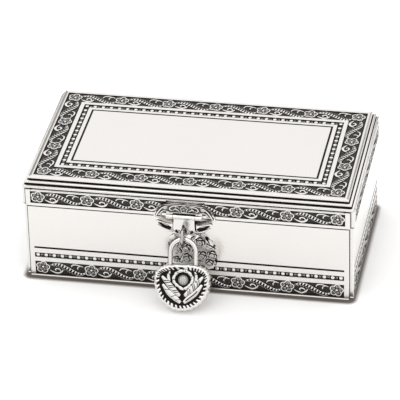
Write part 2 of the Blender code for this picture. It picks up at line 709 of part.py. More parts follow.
def make_hasp_flap():
    """The flap hangs on the pin: a plain tongue, two leaf wings, and a notch for the eye."""
    tongue = FLAP_KNUCKLE / 2
    tongue_share = tongue / WING_REACH
    half_shares = [
        (0.00, 0.00), (tongue_share, 0.00), (tongue_share, -0.35), (0.50, -0.41), (0.78, -0.32),
        (1.00, -0.29), (0.95, -0.50), (0.76, -0.70), (0.52, -0.80), (0.42, -0.90), (0.28, -1.00),
        (0.13, -0.94), (0.00, -0.90),
    ]
    points = placed(mirrored(half_shares), WING_REACH, FLAP_DROP, HASP_AXIS_Z)
    corners = [(x, z) for x, z in points if z == HASP_AXIS_Z]
    flap = outline_plate("hasp_flap", points, HASP_AXIS_Y - FLAP_THICK / 2, FLAP_THICK, SILVER, corners)
    knuckle = rod("hasp_flap_knuckle", HASP_KNUCKLE_RADIUS, (HASP_X - tongue, HASP_AXIS_Y, HASP_AXIS_Z),
                  (HASP_X + tongue, HASP_AXIS_Y, HASP_AXIS_Z), sides=SMALL_ROUND)
    join(flap, knuckle)
    cut(flap, hasp_bore("hasp_flap_bore"))
    half_notch = NOTCH_WIDTH / 2
    notch_top = HASP_AXIS_Z - NOTCH_TOP_DROP
    through = FLAP_THICK + OVERRUN
    arch_z = notch_top - half_notch
    below = HASP_AXIS_Z - FLAP_DROP - OVERRUN
    notch = box("hasp_notch", (HASP_X - half_notch, HASP_AXIS_Y - through, below),
                (HASP_X + half_notch, HASP_AXIS_Y + through, arch_z))
    arch = rod("hasp_notch_arch", half_notch, (HASP_X, HASP_AXIS_Y - through, arch_z),
               (HASP_X, HASP_AXIS_Y + through, arch_z), sides=SMALL_ROUND)
    cut(flap, notch, arch)
    rod("hasp_pin", HASP_PIN_RADIUS, (HASP_X - HASP_WIDTH / 2, HASP_AXIS_Y, HASP_AXIS_Z),
        (HASP_X + HASP_WIDTH / 2, HASP_AXIS_Y, HASP_AXIS_Z), STEEL, sides=SMALL_ROUND)


def make_staple(case_core, case_front):
    """A cast spray behind the padlock, and the eye that is driven through it into the case."""
    right_shares = [
        (0.00, 1.00), (0.19, 0.95), (0.33, 0.83), (0.46, 0.85), (0.60, 0.78), (0.64, 0.69),
        (0.76, 0.71), (0.87, 0.62), (0.85, 0.52), (0.97, 0.49), (1.00, 0.37), (0.90, 0.27),
        (0.91, 0.14), (0.80, 0.03), (0.62, 0.04), (0.53, 0.13), (0.34, 0.08), (0.18, 0.13),
    ]
    left_shares = [
        (-0.10, 0.09), (-0.46, 0.08), (-0.74, 0.17), (-0.78, 0.29), (-0.97, 0.36), (-1.00, 0.49),
        (-0.82, 0.55), (-0.88, 0.68), (-0.64, 0.79), (-0.40, 0.78), (-0.30, 0.95),
    ]
    points = placed(right_shares, STAPLE_RIGHT, STAPLE_HEIGHT, STAPLE_FOOT)
    points += placed(left_shares, STAPLE_LEFT, STAPLE_HEIGHT, STAPLE_FOOT)
    plate = outline_plate("staple_plate", points, STAPLE_FACE, STAPLE_PLATE_THICK, OXIDISED)
    rivet_shares = ((-0.50 * STAPLE_LEFT / STAPLE_RIGHT, 0.38), (0.68, 0.52))
    rivet_places = placed(rivet_shares, STAPLE_RIGHT, STAPLE_HEIGHT, STAPLE_FOOT)
    for number, (x, z) in enumerate(rivet_places, 1):
        make_rivet(f"staple_rivet_{number}", x, z, STAPLE_FACE, (plate, case_front, case_core))
    make_spray(plate)
    bpy.ops.mesh.primitive_torus_add(
        major_radius=EYE_RING_RADIUS, minor_radius=EYE_WIRE_RADIUS, major_segments=32,
        minor_segments=10, location=(HASP_X, EYE_Y, EYE_HEIGHT), rotation=(0, math.pi / 2, 0))
    eye = bpy.context.object
    eye.name = "staple_eye"
    smooth(eye)
    keep(eye, SILVER)
    root = EYE_Y + EYE_RING_RADIUS
    end = STAPLE_FACE + EYE_WIRE_RADIUS + EYE_SHANK_DEPTH
    shank = rod("staple_shank", EYE_SHANK_RADIUS, (HASP_X, root, EYE_HEIGHT), (HASP_X, end, EYE_HEIGHT),
                sides=SMALL_ROUND)
    join(eye, shank)
    hole = rod("staple_hole", EYE_SHANK_RADIUS + FIT, (HASP_X, root - OVERRUN, EYE_HEIGHT),
               (HASP_X, end + FIT, EYE_HEIGHT), sides=SMALL_ROUND)
    cut(plate, hole)
    cut(case_front, hole)
    cut(case_core, hole)


def make_spray(plate):
    """Domed roses on the staple plate: a place and a radius for each."""
    spray_shares = (
        (0.45, 0.67, 0.105), (0.82, 0.37, 0.10), (0.51, 0.34, 0.10), (0.73, 0.17, 0.085),
        (0.02, 0.50, 0.105), (0.04, 0.25, 0.105), (-0.29, 0.61, 0.095), (-0.29, 0.20, 0.07),
    )
    rings = 4
    for number, (x_share, z_share, radius_share) in enumerate(spray_shares, 1):
        radius = radius_share * STAPLE_HEIGHT
        profile = [(radius * math.sin(ring * math.pi / 2 / rings),
                    SPRAY_HEIGHT * math.cos(ring * math.pi / 2 / rings)) for ring in range(rings)]
        profile += [(radius, -STAPLE_PLATE_THICK / 2), (0.0, -STAPLE_PLATE_THICK / 2)]
        x, z = placed(((x_share, z_share),), STAPLE_RIGHT, STAPLE_HEIGHT, STAPLE_FOOT)[0]
        rose = turned(f"spray_{number}", profile, (x, STAPLE_FACE, z), (math.pi / 2, 0, 0),
                      sides=SMALL_ROUND)
        join(plate, rose)


def lock_outline(inset, scallop=0.0, points=GADROON_COUNT * 4):
    """The padlock's shouldered outline, widest above its middle, with lobes along its edge if scalloped."""
    half_width = LOCK_HALF_WIDTH - inset
    outline = []
    for index in range(points):
        angle = 2 * math.pi * index / points
        c = math.cos(angle)
        s = math.sin(angle)
        power = 2 / (LOCK_SQUARENESS if s > 0 else 2.0)
        height = LOCK_UPPER_HEIGHT if s > 0 else LOCK_LOWER_HEIGHT
        x = math.copysign(abs(c) ** power, c) * half_width
        z = math.copysign(abs(s) ** power, s) * (height - inset)
        lobe = 1 - scallop / half_width * (1 + math.cos(GADROON_COUNT * angle)) / 2
        outline.append((x * lobe, -LOCK_DROP + z * lobe))
    return outline


def lofted(name, sections, finish=None, parent=None):
    """A closed shape through outlines that have the same number of points."""
    shape = bmesh.new()
    rings = [[shape.verts.new((x, y, z)) for x, z in outline] for y, outline in sections]
    count = len(rings[0])
    for near, far in zip(rings, rings[1:]):
        for index in range(count):
            after = (index + 1) % count
            shape.faces.new((near[index], near[after], far[after], far[index]))
    shape.faces.new(rings[0])
    shape.faces.new(rings[-1])
    bmesh.ops.recalc_face_normals(shape, faces=shape.faces)
    made = object_from(name, shape, finish, parent)
    smooth(made)
    return made


def make_lock_shell(name, side, pivot):
    """One half of the padlock's case. The front half looks to -Y, the back half to +Y."""
    mid = side * LOCK_SPLIT / 2
    rim = side * LOCK_RIM_HALF
    face = side * LOCK_HALF_THICK
    shoulder = GADROON_WIDTH / 3
    outer = lock_outline(0.0, GADROON_DEPTH)
    crest = lock_outline(shoulder, GADROON_DEPTH)
    shell = lofted(name, ((mid, outer), (rim, outer), (face, crest)), SILVER, pivot)
    plain = GADROON_COUNT * 2
    room = lock_outline(LOCK_RIM_WALL, points=plain)
    floor = side * (LOCK_HALF_THICK - LOCK_FIELD_SINK - LOCK_FACE_WALL)
    cut(shell, lofted(name + "_room", ((-side * OVERRUN, room), (floor, room)), parent=pivot))
    if side < 0:
        field = lock_outline(GADROON_WIDTH, points=plain)
        sink = side * (LOCK_HALF_THICK - LOCK_FIELD_SINK)
        cut(shell, lofted(name + "_field", ((face + side * OVERRUN, field), (sink, field)), parent=pivot))
    return shell


def make_rose(shell, pivot):
    """The domed middle of the rose and the ring of petals round it, on the sunk field."""
    ground = -LOCK_HALF_THICK + LOCK_FIELD_SINK
    rings = 4
    dome = [(ROSE_RADIUS * math.sin(step * math.pi / 2 / rings),
             ROSE_HEIGHT * math.cos(step * math.pi / 2 / rings)) for step in range(rings + 1)]
    dome += [(ROSE_RADIUS, -LOCK_FACE_WALL / 2), (0.0, -LOCK_FACE_WALL / 2)]
    centre = (ROSE_X, ground, -LOCK_DROP + ROSE_RISE)
    rose = turned("rose_middle", dome, centre, (math.pi / 2, 0, 0), parent=pivot, sides=20)
    petals = turned("rose_petals", (
        (0.0, PETAL_HEIGHT), (PETAL_RADIUS * 0.9, PETAL_HEIGHT), (PETAL_RADIUS, PETAL_HEIGHT / 2),
        (PETAL_RADIUS, -LOCK_FACE_WALL / 3), (0.0, -LOCK_FACE_WALL / 3)), centre,
        (math.pi / 2, 0, 0), parent=pivot, sides=16)
    join(shell, petals, rose)
    make_leaves(shell, pivot, ground)


def make_leaves(shell, pivot, ground):
    """Four flat leaves: a pair that meets at the foot, and a pair that reaches to the sides."""
    foot = -LOCK_DROP - LOCK_LOWER_HEIGHT
    half_shares = ((0.0, 0.0), (0.22, 0.6), (0.5, 1.0), (0.8, 0.7), (1.0, 0.0),
                   (0.8, -0.7), (0.5, -1.0), (0.22, -0.6))
    leaf_shares = (
        ("lower_left", (-0.02, 0.37), (-0.49, 0.67), 0.11),
        ("lower_right", (0.02, 0.37), (0.53, 0.67), 0.11),
        ("side_left", (-0.19, 0.72), (-0.67, 1.06), 0.10),
        ("side_right", (0.27, 0.72), (0.71, 1.02), 0.10),
    )
    for name, root_share, tip_share, width_share in leaf_shares:
        root = Vector((root_share[0] * LOCK_HALF_WIDTH, foot + root_share[1] * LOCK_LOWER_HEIGHT))
        tip = Vector((tip_share[0] * LOCK_HALF_WIDTH, foot + tip_share[1] * LOCK_LOWER_HEIGHT))
        along = tip - root
        across = Vector((-along.y, along.x)).normalized() * width_share * LOCK_HALF_WIDTH
        outline = [tuple(root + along * a_share + across * b_share) for a_share, b_share in half_shares]
        leaf = lofted("leaf_" + name, ((ground - LEAF_HEIGHT, outline), (ground + LEAF_HEIGHT, outline)),
                      parent=pivot)
        join(shell, leaf)


def make_padlock():
    """The padlock hangs in the eye and stands on the table, leaning out."""
    pivot = bpy.data.objects.new("padlock_pivot", None)
    get_collection("jewelry_box").objects.link(pivot)
    pivot.location = (HASP_X, LOCK_PIVOT_Y, LOCK_PIVOT_Z)
    lean = Matrix.Rotation(-LOCK_LEAN, 4, "X")
    roll = Matrix.Rotation(-math.radians(LOCK_ROLL), 4, "Y")
    pivot.rotation_euler = (lean @ roll).to_euler()
    front = make_lock_shell("lock_front_shell", -1, pivot)
    back = make_lock_shell("lock_back_shell", 1, pivot)
    make_shackle(pivot)
    make_shackle_slots((front, back), pivot)
    make_rose(front, pivot)
    make_lock_works(front, back, pivot)


def make_shackle(pivot):
    """A bent wire: the heel, at the left, turns on its rivet, and the toe has the latch notch."""
    leg_end = -HEEL_DROP - LEG_END_BELOW_HEEL
    points = [(-SHACKLE_ARCH_RADIUS, 0, leg_end)]
    turns = 18
    for step in range(turns + 1):
        angle = math.pi * (1 - step / turns)
        points.append((SHACKLE_ARCH_RADIUS * math.cos(angle), 0,
                       SHACKLE_ARCH_RADIUS * (math.sin(angle) - 1)))
    points.append((SHACKLE_ARCH_RADIUS, 0, leg_end))
    shackle = wire("shackle", points, SHACKLE_WIRE_RADIUS, SILVER, pivot, resolution=3)
    wide = SHACKLE_WIRE_RADIUS + OVERRUN
    rivet_hole = rod("heel_rivet_hole", HEEL_RIVET_RADIUS + FIT / 2,
                     (-SHACKLE_ARCH_RADIUS, -wide, -HEEL_DROP),
                     (-SHACKLE_ARCH_RADIUS, wide, -HEEL_DROP), parent=pivot, sides=SMALL_ROUND)
    toe_face = SHACKLE_ARCH_RADIUS - SHACKLE_WIRE_RADIUS
    notch_low = leg_end + LATCH_LIP
    notch = box("latch_notch", (toe_face - OVERRUN, -wide, notch_low),
                (toe_face + LATCH_THROW, wide, notch_low + LATCH_HEIGHT + 2 * FIT), parent=pivot)
    cut(shackle, rivet_hole, notch)


def make_shackle_slots(shells, pivot):
    """Where the legs go in: a slot for the toe, and a fan that lets the heel turn."""
    play = SHACKLE_WIRE_RADIUS + FIT
    leg_end = -HEEL_DROP - LEG_END_BELOW_HEEL
    high = -LOCK_DROP + LOCK_UPPER_HEIGHT + OVERRUN
    toe = box("toe_slot", (SHACKLE_ARCH_RADIUS - play - TOE_SLOT_EXTRA, -play, leg_end - FIT),
              (SHACKLE_ARCH_RADIUS + play, play, high), parent=pivot)
    heel = (-SHACKLE_ARCH_RADIUS, -HEEL_DROP)
    reach = HEEL_DROP
    swing = math.radians(SHACKLE_SWING)
    fan = []
    steps = 6
    fan.append((heel[0] + play, heel[1] - play))
    fan.append((heel[0] + play, heel[1] + reach))
    for step in range(steps + 1):
        angle = swing * step / steps
        fan.append((heel[0] - play - reach * math.sin(angle), heel[1] + reach * math.cos(angle)))
    far = swing
    fan.append((heel[0] - reach * math.sin(far) - play * math.cos(far),
                heel[1] + reach * math.cos(far) - play * math.sin(far)))
    fan.append((heel[0] - play * math.cos(far), heel[1] - play * math.sin(far)))
    fan.append((heel[0] - play * 0.6, heel[1] - play))
    foot_low = heel[1] - LEG_END_BELOW_HEEL - SHACKLE_WIRE_RADIUS
    end_swing = box("heel_foot_room", (heel[0] - play, -play, foot_low),
                    (heel[0] + play + LEG_END_BELOW_HEEL, play, heel[1]), parent=pivot)
    sector = lofted("heel_fan", ((-play, fan), (play, fan)), parent=pivot)
    for shell in shells:
        cut(shell, toe, sector, end_swing)


def make_lock_works(front, back, pivot):
    """Heel rivet, latch with its spring and guide, key barrel with its cam, and case pins.

    The latch stands drawn back, clear of the toe. Turning the barrel throws it into the toe's notch.
    """
    leg_end = -HEEL_DROP - LEG_END_BELOW_HEEL
    room_wall = LOCK_HALF_THICK - LOCK_FIELD_SINK - LOCK_FACE_WALL
    rivet_end = room_wall + LOCK_FACE_WALL / 2
    rod("heel_rivet", HEEL_RIVET_RADIUS, (-SHACKLE_ARCH_RADIUS, -rivet_end, -HEEL_DROP),
        (-SHACKLE_ARCH_RADIUS, rivet_end, -HEEL_DROP), STEEL, pivot, SMALL_ROUND)
    rivet_seat = rod("heel_rivet_seat", HEEL_RIVET_RADIUS + FIT / 2,
                     (-SHACKLE_ARCH_RADIUS, -rivet_end - FIT, -HEEL_DROP),
                     (-SHACKLE_ARCH_RADIUS, rivet_end + FIT, -HEEL_DROP), parent=pivot, sides=SMALL_ROUND)
    cut(front, rivet_seat)
    cut(back, rivet_seat)

    low = leg_end + LATCH_LIP + FIT
    high = low + LATCH_HEIGHT
    nose = SHACKLE_ARCH_RADIUS - SHACKLE_WIRE_RADIUS - FIT
    half = LATCH_DEPTH / 2
    latch = box("latch", (LATCH_TAIL_X, -half, low), (nose, half, high), BRASS, pivot)
    tail = box("latch_tail", (LATCH_TAIL_X, -half, low - LATCH_TAIL_DROP),
               (LATCH_TAIL_X + LATCH_TAIL_WIDTH, half, low + LATCH_HEIGHT / 2), parent=pivot)
    join(latch, tail)
    guide = box("latch_guide", (GUIDE_X, -half, low - FIT - GUIDE_HEIGHT),
                (GUIDE_X + GUIDE_WIDTH, room_wall + LOCK_FACE_WALL / 2, low - FIT), parent=pivot)
    join(back, guide)
    make_spring(pivot, (low + high) / 2)

    barrel_z = -BARREL_DROP
    barrel_front = -half
    barrel = rod("key_barrel", BARREL_RADIUS, (BARREL_X, barrel_front, barrel_z),
                 (BARREL_X, LOCK_HALF_THICK, barrel_z), BRASS, pivot, 20)
    cam = box("cam", (BARREL_X - CAM_WIDTH / 2, barrel_front + FIT, barrel_z),
              (BARREL_X + CAM_WIDTH / 2, half, barrel_z + CAM_REACH), parent=pivot)
    join(barrel, cam)
    keyway = box("keyway", (BARREL_X - KEYWAY_WIDTH / 2, LOCK_HALF_THICK - KEYWAY_DEPTH,
                            barrel_z - BARREL_RADIUS * 0.7),
                 (BARREL_X + KEYWAY_WIDTH / 2, LOCK_HALF_THICK + OVERRUN,
                  barrel_z + BARREL_RADIUS * 0.7), parent=pivot)
    cut(barrel, keyway)
    barrel_seat = rod("barrel_seat", BARREL_RADIUS + FIT, (BARREL_X, room_wall - OVERRUN, barrel_z),
                      (BARREL_X, LOCK_HALF_THICK + OVERRUN, barrel_z), parent=pivot, sides=20)
    cut(back, barrel_seat)
    make_case_pins(front, back, pivot)


def make_spring(pivot, height):
    """The latch's return spring, on the latch's left end."""
    points = []
    per_turn = 8
    start = LATCH_TAIL_X - FIT
    total = SPRING_TURNS * per_turn
    for step in range(total + 1):
        angle = 2 * math.pi * step / per_turn
        points.append((start - SPRING_WIRE_RADIUS - SPRING_LENGTH * step / total,
                       SPRING_RADIUS * math.cos(angle), height + SPRING_RADIUS * math.sin(angle)))
    wire("latch_spring", points, SPRING_WIRE_RADIUS, STEEL, pivot, resolution=1)


def make_case_pins(front, back, pivot):
    """Three pins that hold the two halves together, seen only from behind."""
    middle = LOCK_RIM_WALL / 2
    low_z = -LOCK_DROP - LOCK_LOWER_HEIGHT + middle
    side_x = LOCK_HALF_WIDTH - middle
    places = ((0.0, low_z), (-side_x, -LOCK_DROP), (side_x, -LOCK_DROP))
    for number, (x, z) in enumerate(places, 1):
        deep = -LOCK_RIM_HALF / 2
        rod(f"case_pin_{number}", CASE_PIN_RADIUS, (x, deep, z), (x, LOCK_RIM_HALF, z), STEEL, pivot,
            SMALL_ROUND)
        hole = rod(f"case_pin_hole_{number}", CASE_PIN_RADIUS + FIT / 2, (x, deep - FIT, z),
                   (x, LOCK_HALF_THICK + OVERRUN, z), parent=pivot, sides=SMALL_ROUND)
        cut(front, hole)
        cut(back, hole)


def main():
    clear_scene()
    plates = make_case_plates()
    case_core = make_case_core()
    make_base_pad()
    skirts = make_lid_skirts()
    lid_core = make_lid_core()
    make_lid_moulding()
    make_lid_top_plate()
    make_hinges(case_core, plates["back"], lid_core, skirts["back"])
    make_hasp_plate(lid_core, skirts["front"])
    make_hasp_flap()
    make_staple(case_core, plates["front"])
    make_padlock()


if __name__ == "__main__":
    main()
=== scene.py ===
"""Looks of the locking jewelry box: silver plate with flower bands, a hasp and a small padlock.

Metres, +Z up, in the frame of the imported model. The front, with the padlock, faces -Y.
"""

import json
import math

import bmesh
import bpy
import numpy as np
from bpy.props import FloatProperty, FloatVectorProperty, IntProperty, PointerProperty
from bpy.types import Operator, Panel, PropertyGroup
from mathutils import Matrix, Vector
from mathutils.bvhtree import BVHTree
from mathutils.kdtree import KDTree


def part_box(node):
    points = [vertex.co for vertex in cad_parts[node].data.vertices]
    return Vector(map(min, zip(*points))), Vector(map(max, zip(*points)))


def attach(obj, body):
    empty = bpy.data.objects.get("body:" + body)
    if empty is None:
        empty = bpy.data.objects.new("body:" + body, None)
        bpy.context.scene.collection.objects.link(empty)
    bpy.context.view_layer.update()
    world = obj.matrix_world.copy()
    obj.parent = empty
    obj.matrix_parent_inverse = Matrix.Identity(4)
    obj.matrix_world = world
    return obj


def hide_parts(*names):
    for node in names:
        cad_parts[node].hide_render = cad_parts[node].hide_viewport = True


bl_info = {
    "name": "Locking jewelry box",
    "version": (1, 0, 0),
    "blender": (4, 5, 0),
    "location": "3D View > Sidebar > Jewelry box",
    "description": "Silver plate, flower bands, hasp, padlock and velvet lining around the packed model",
    "category": "Object",
}

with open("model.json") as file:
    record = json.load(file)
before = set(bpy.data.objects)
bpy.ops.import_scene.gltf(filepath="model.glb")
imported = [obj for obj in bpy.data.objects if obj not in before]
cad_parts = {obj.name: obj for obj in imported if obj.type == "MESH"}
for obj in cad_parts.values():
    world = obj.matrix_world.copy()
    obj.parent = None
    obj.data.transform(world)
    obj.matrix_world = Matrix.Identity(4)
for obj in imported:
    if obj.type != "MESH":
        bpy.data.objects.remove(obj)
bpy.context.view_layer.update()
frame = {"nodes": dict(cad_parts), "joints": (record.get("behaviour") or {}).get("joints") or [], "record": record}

MM = 0.001
NODE_SHARP = 35

# Faces of the case and the lid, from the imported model
CASE_FRONT_LOW, CASE_FRONT_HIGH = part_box("case_front_plate")
SKIRT_FRONT_LOW, SKIRT_FRONT_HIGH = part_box("lid_front_skirt")
TOP_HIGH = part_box("lid_top_plate")[1]
CASE_HALF_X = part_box("case_right_plate")[1].x
CASE_HALF_Y = -CASE_FRONT_LOW.y
CASE_TOP = CASE_FRONT_HIGH.z
SKIRT_HALF_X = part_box("lid_right_skirt")[1].x
SKIRT_HALF_Y = -SKIRT_FRONT_LOW.y
SKIRT_FOOT = SKIRT_FRONT_LOW.z
SKIRT_TOP = SKIRT_FRONT_HIGH.z

# Bands of the plates, from the foot of the case up and from the edge of the top inwards
BAND_DEPTH = 0.45 * MM
PLATE_NOTCH = 2.3 * MM
BAND_MARGIN = 2.8 * MM
BAND_END = PLATE_NOTCH + BAND_MARGIN
BAND_FOOT = 1.2 * MM
BAND_HEIGHT = 8.8 * MM
CHANNEL_FOOT = 12.7 * MM
CHANNEL_HEIGHT = 3.0 * MM
LINE_FOOT = 18.8 * MM
LINE_HEIGHT = 0.8 * MM
SKIRT_BAND_FOOT = 2.1 * MM
SKIRT_BAND_HEIGHT = 7.7 * MM
TOP_BORDER = 2.5 * MM
TOP_BAND = 10.0 * MM
TOP_STRIP = 2.3 * MM
TOP_CHANNEL = 3.4 * MM

# Shades of the plates: engraved lines are drawn wider, seams get painted shade, and two strips roll over. The painted
# shade in the gap of a corner reaches so many millimetres up to the notch of each side
LINE_SPREAD = 0.2 * MM
BEAD_CHANNEL_LEAST = 2.0 * MM
BAND_FADE = 0.35 * MM
STOP_GAP = 0.0005
SEAM_SHADE = 0.3 * MM
CORNER_SHADE_REACHES = (("front", 2.2), ("back", 0.95), ("left", 0.95), ("right", 0.4))
FOOT_ROLL = 0.6
END_ROLL = 1.3
TOP_REACH = 40.0 * MM
MARKS_DEPTH = 0.05 * MM

# Relief: a stroke's foot is a thin dark flange, oxide with painted shade round the relief, and its crest is polished
FLANGE = 0.03 * MM
FLANGE_WIDTH = 0.28 * MM
VEIN_FLANGE = 0.05 * MM
VEIN_HEIGHT = 0.05 * MM
ROOT = 0.12 * MM
STROKE_SECTION_SHARES = (
    (-1.0, 0.0, 0.0), (-0.84, 0.7, 0.0), (-0.62, 0.9, 0.9), (0.0, 1.0, 1.0), (0.62, 0.9, 0.9), (0.84, 0.7, 0.0),
    (1.0, 0.0, 0.0),
)

# Motif of the bands, in millimetres from its flower's centre: rope, crescent leaf, its curl, hooked leaf, its curl
MOTIF_PITCH = 28.0
PETAL_ANGLES = (80.0, 8.0, -64.0, -136.0, 152.0)
ROPE_BARS = 12
ROPE_LINE = ((3.6, 1.2), (6.0, 2.1), (9.0, 2.2), (11.7, 1.2), (14.7, -0.4), (17.7, -2.1), (20.1, -3.0),
             (22.2, -3.2), (24.0, -2.5), (25.3, -1.5))
ROPE_HALVES = (0.3, 0.9, 1.35, 1.45, 1.45, 1.4, 1.25, 0.95, 0.6, 0.3)
MOTIF_STROKES = (
    (((4.0, -1.7), (5.8, -2.7), (8.2, -3.5), (10.5, -2.6), (11.6, -0.8)), (0.25, 0.55, 0.85, 0.75, 0.2)),
    (((10.3, -2.2), (9.6, -0.7), (8.1, -0.3), (7.1, -1.1), (7.7, -1.9)), (0.25, 0.5, 0.6, 0.5, 0.25)),
    (((16.3, 1.2), (17.2, 2.8), (19.4, 3.1), (21.6, 2.6), (23.5, 1.9)), (0.25, 0.52, 0.48, 0.42, 0.26)),
    (((21.4, 2.4), (20.3, 1.6), (20.0, 0.6), (20.5, 0.2)), (0.34, 0.42, 0.38, 0.24)),
)
BAND_END_ROOM = 4.3 * MM
BEAD_END_ROOM = 1.8 * MM


def length(name, description, size, low, high):
    """A size property, given in millimetres."""
    return FloatProperty(name=name, description=description, default=size * MM, min=low * MM, max=high * MM,
                         unit="LENGTH")


def count(name, description, number, low, high):
    return IntProperty(name=name, description=description, default=number, min=low, max=high)


def colour(name, description, shade):
    return FloatVectorProperty(name=name, description=description, subtype="COLOR", size=3, default=shade, min=0.0,
                               max=1.0)


class OrnamentSizes(PropertyGroup):
    """Sizes of the pressed ornament."""

    relief: length("Relief", "How far the flowers and ropes stand off the ground of their band", 0.43, 0.1, 0.45)
    flower_radius: length("Flower radius", "From a flower's centre to the tip of a petal", 4.0, 2.0, 4.4)
    long_motifs: count("Motifs along", "Ropes along the front and the back", 6, 3, 9)
    short_motifs: count("Motifs across", "Ropes along the left and right sides", 3, 1, 5)
    bead_pitch: length("Bead pitch", "From one bead to the next", 4.77, 3.0, 9.0)
    bead_radius: length("Bead radius", "Half the width of a bead", 1.2, 0.5, 1.4)


class FinishColours(PropertyGroup):
    """Colours of the finishes."""

    silver: colour("Silver", "Polished silver plate", (0.845, 0.82, 0.797))
    # Besides oxide in hollows, this black is painted shade: corner gaps, lid seam, under the top's edge, turned edges
    grime: colour("Oxide", "Black oxide left in the recesses", (0.012, 0.011, 0.01))
    ground: colour("Ground", "Matt ground of the flower bands", (0.055, 0.052, 0.048))
    velvet: colour("Velvet", "Pile of the lining", (0.014, 0.02, 0.075))
    wood: colour("Wood", "Late wood of the carcass", (0.3, 0.17, 0.08))
    studio: FloatProperty(
        name="Studio light", description="Strength of the white surround", default=1.2, min=0.1, max=5.0)


class Signal:
    """A value in a shader tree. Python's operators on it add Math nodes."""

    def __init__(self, graph, socket):
        self.graph = graph
        self.socket = socket

    def math(self, operation, *others):
        return self.graph.node("Math", dict(enumerate((self, *others))), operation=operation)

    def ramp(self, low, high, start=0.0, end=1.0):
        """A smooth step from start, at low, to end, at high."""
        return self.graph.node("MapRange", dict(enumerate((self, low, high, start, end))),
                               interpolation_type="SMOOTHSTEP")

    def __add__(self, other):
        return self.math("ADD", other)

    def __sub__(self, other):
        return self.math("SUBTRACT", other)

    def __rsub__(self, other):
        return self.math("MULTIPLY_ADD", -1.0, other)

    def __mul__(self, other):
        return self.math("MULTIPLY", other)

    def __abs__(self):
        return self.math("ABSOLUTE")


class Graph:
    """A shader tree under construction."""

    def __init__(self, tree):
        self.tree = tree

    def feed(self, socket, value):
        """Links a signal into a socket, or sets the socket to a plain value."""
        if isinstance(value, Signal):
            self.tree.links.new(value.socket, socket)
        elif socket.type == "RGBA" and len(value) == 3:
            socket.default_value = (*value, 1.0)
        else:
            socket.default_value = value

    def node(self, kind, values=(), output=0, **settings):
        """An output of a new node, whose inputs are fed by name or by number."""
        made = self.tree.nodes.new("ShaderNode" + kind)
        for name, value in settings.items():
            setattr(made, name, value)
        for key, value in dict(values).items():
            self.feed(made.inputs[key], value)
        return Signal(self, made.outputs[output])

    def place(self):
        return self.node("TexCoord", output="Object")

    def axes(self):
        """The object coordinates, one by one."""
        first = self.node("SeparateXYZ", {0: self.place()})
        return [Signal(self, socket) for socket in first.socket.node.outputs]

    def mix(self, share, first, second):
        return self.node("Mix", {0: share, 6: first, 7: second}, 2, data_type="RGBA")

    def scaled(self, vector, share):
        return self.node("VectorMath", {0: vector, "Scale": share}, operation="SCALE")

    def stretched(self, scales):
        """The object coordinates, each times its own scale."""
        return self.node("VectorMath", {0: self.place(), 1: scales}, operation="MULTIPLY")

    def noise(self, scale, detail=3.0, rough=0.5, place=None):
        return self.node("TexNoise", {"Vector": place or self.place(), "Scale": scale, "Detail": detail,
                                      "Roughness": rough})

    def bump(self, height, strength, distance):
        return self.node("Bump", {"Strength": strength, "Distance": distance, "Height": height})

    def leaning(self, normal, share, axis):
        """The normal, leant towards an axis by a share of its length."""
        total = self.node("VectorMath", {0: normal, 1: self.node("CombineXYZ", {axis: share})}, operation="ADD")
        return self.node("VectorMath", {0: total}, operation="NORMALIZE")

    def facing(self):
        return self.node("LayerWeight", output="Facing")

    def camera_ray(self):
        return self.node("LightPath", output="Is Camera Ray")

    def stops(self, value, stops):
        """A colour ramp through (place from 0 to 1, colour) stops."""
        made = self.node("ValToRGB", {0: value})
        elements = made.socket.node.color_ramp.elements
        for element, (place, shade) in zip(elements, (stops[0], stops[-1])):
            element.position = place
            element.color = (*shade, 1.0)
        for place, shade in stops[1:-1]:
            elements.new(place).color = (*shade, 1.0)
        return made

    def group(self, tree, **values):
        """The outputs of a shared group, by name."""
        first = self.node("Group", node_tree=tree)
        made = first.socket.node
        for name, value in values.items():
            self.feed(made.inputs[name], value)
        return {socket.name: Signal(self, socket) for socket in made.outputs}


class Finish(Graph):
    """A Principled material under construction."""

    def __init__(self, name, metallic, roughness):
        self.material = bpy.data.materials.new(name)
        self.material.use_nodes = True
        super().__init__(self.material.node_tree)
        self.dress(Metallic=metallic, Roughness=roughness)

    def dress(self, **values):
        """Feeds the shader's sockets, with underscores for the spaces in their names."""
        shader = self.tree.nodes["Principled BSDF"]
        for name, value in values.items():
            self.feed(shader.inputs[name.replace("_", " ")], value)
        return self.material


class SharedGroup(Graph):
    """A shader group under construction, with a default for each input and the names of its outputs."""

    def __init__(self, name, ins, outs):
        super().__init__(bpy.data.node_groups.new(name, "ShaderNodeTree"))
        kinds = {3: "NodeSocketVector", 4: "NodeSocketColor"}
        for label, default in ins.items():
            kind = kinds[len(default)] if isinstance(default, tuple) else "NodeSocketFloat"
            socket = self.tree.interface.new_socket(label, in_out="INPUT", socket_type=kind)
            socket.default_value = default
        for label in outs:
            kind = "NodeSocketColor" if label == "Color" else "NodeSocketFloat"
            self.tree.interface.new_socket(label, in_out="OUTPUT", socket_type=kind)
        given = self.tree.nodes.new("NodeGroupInput")
        self.given = {socket.name: Signal(self, socket) for socket in given.outputs}
        self.result = self.tree.nodes.new("NodeGroupOutput")

    def give(self, **values):
        for name, value in values.items():
            self.feed(self.result.inputs[name], value)
        return self.tree


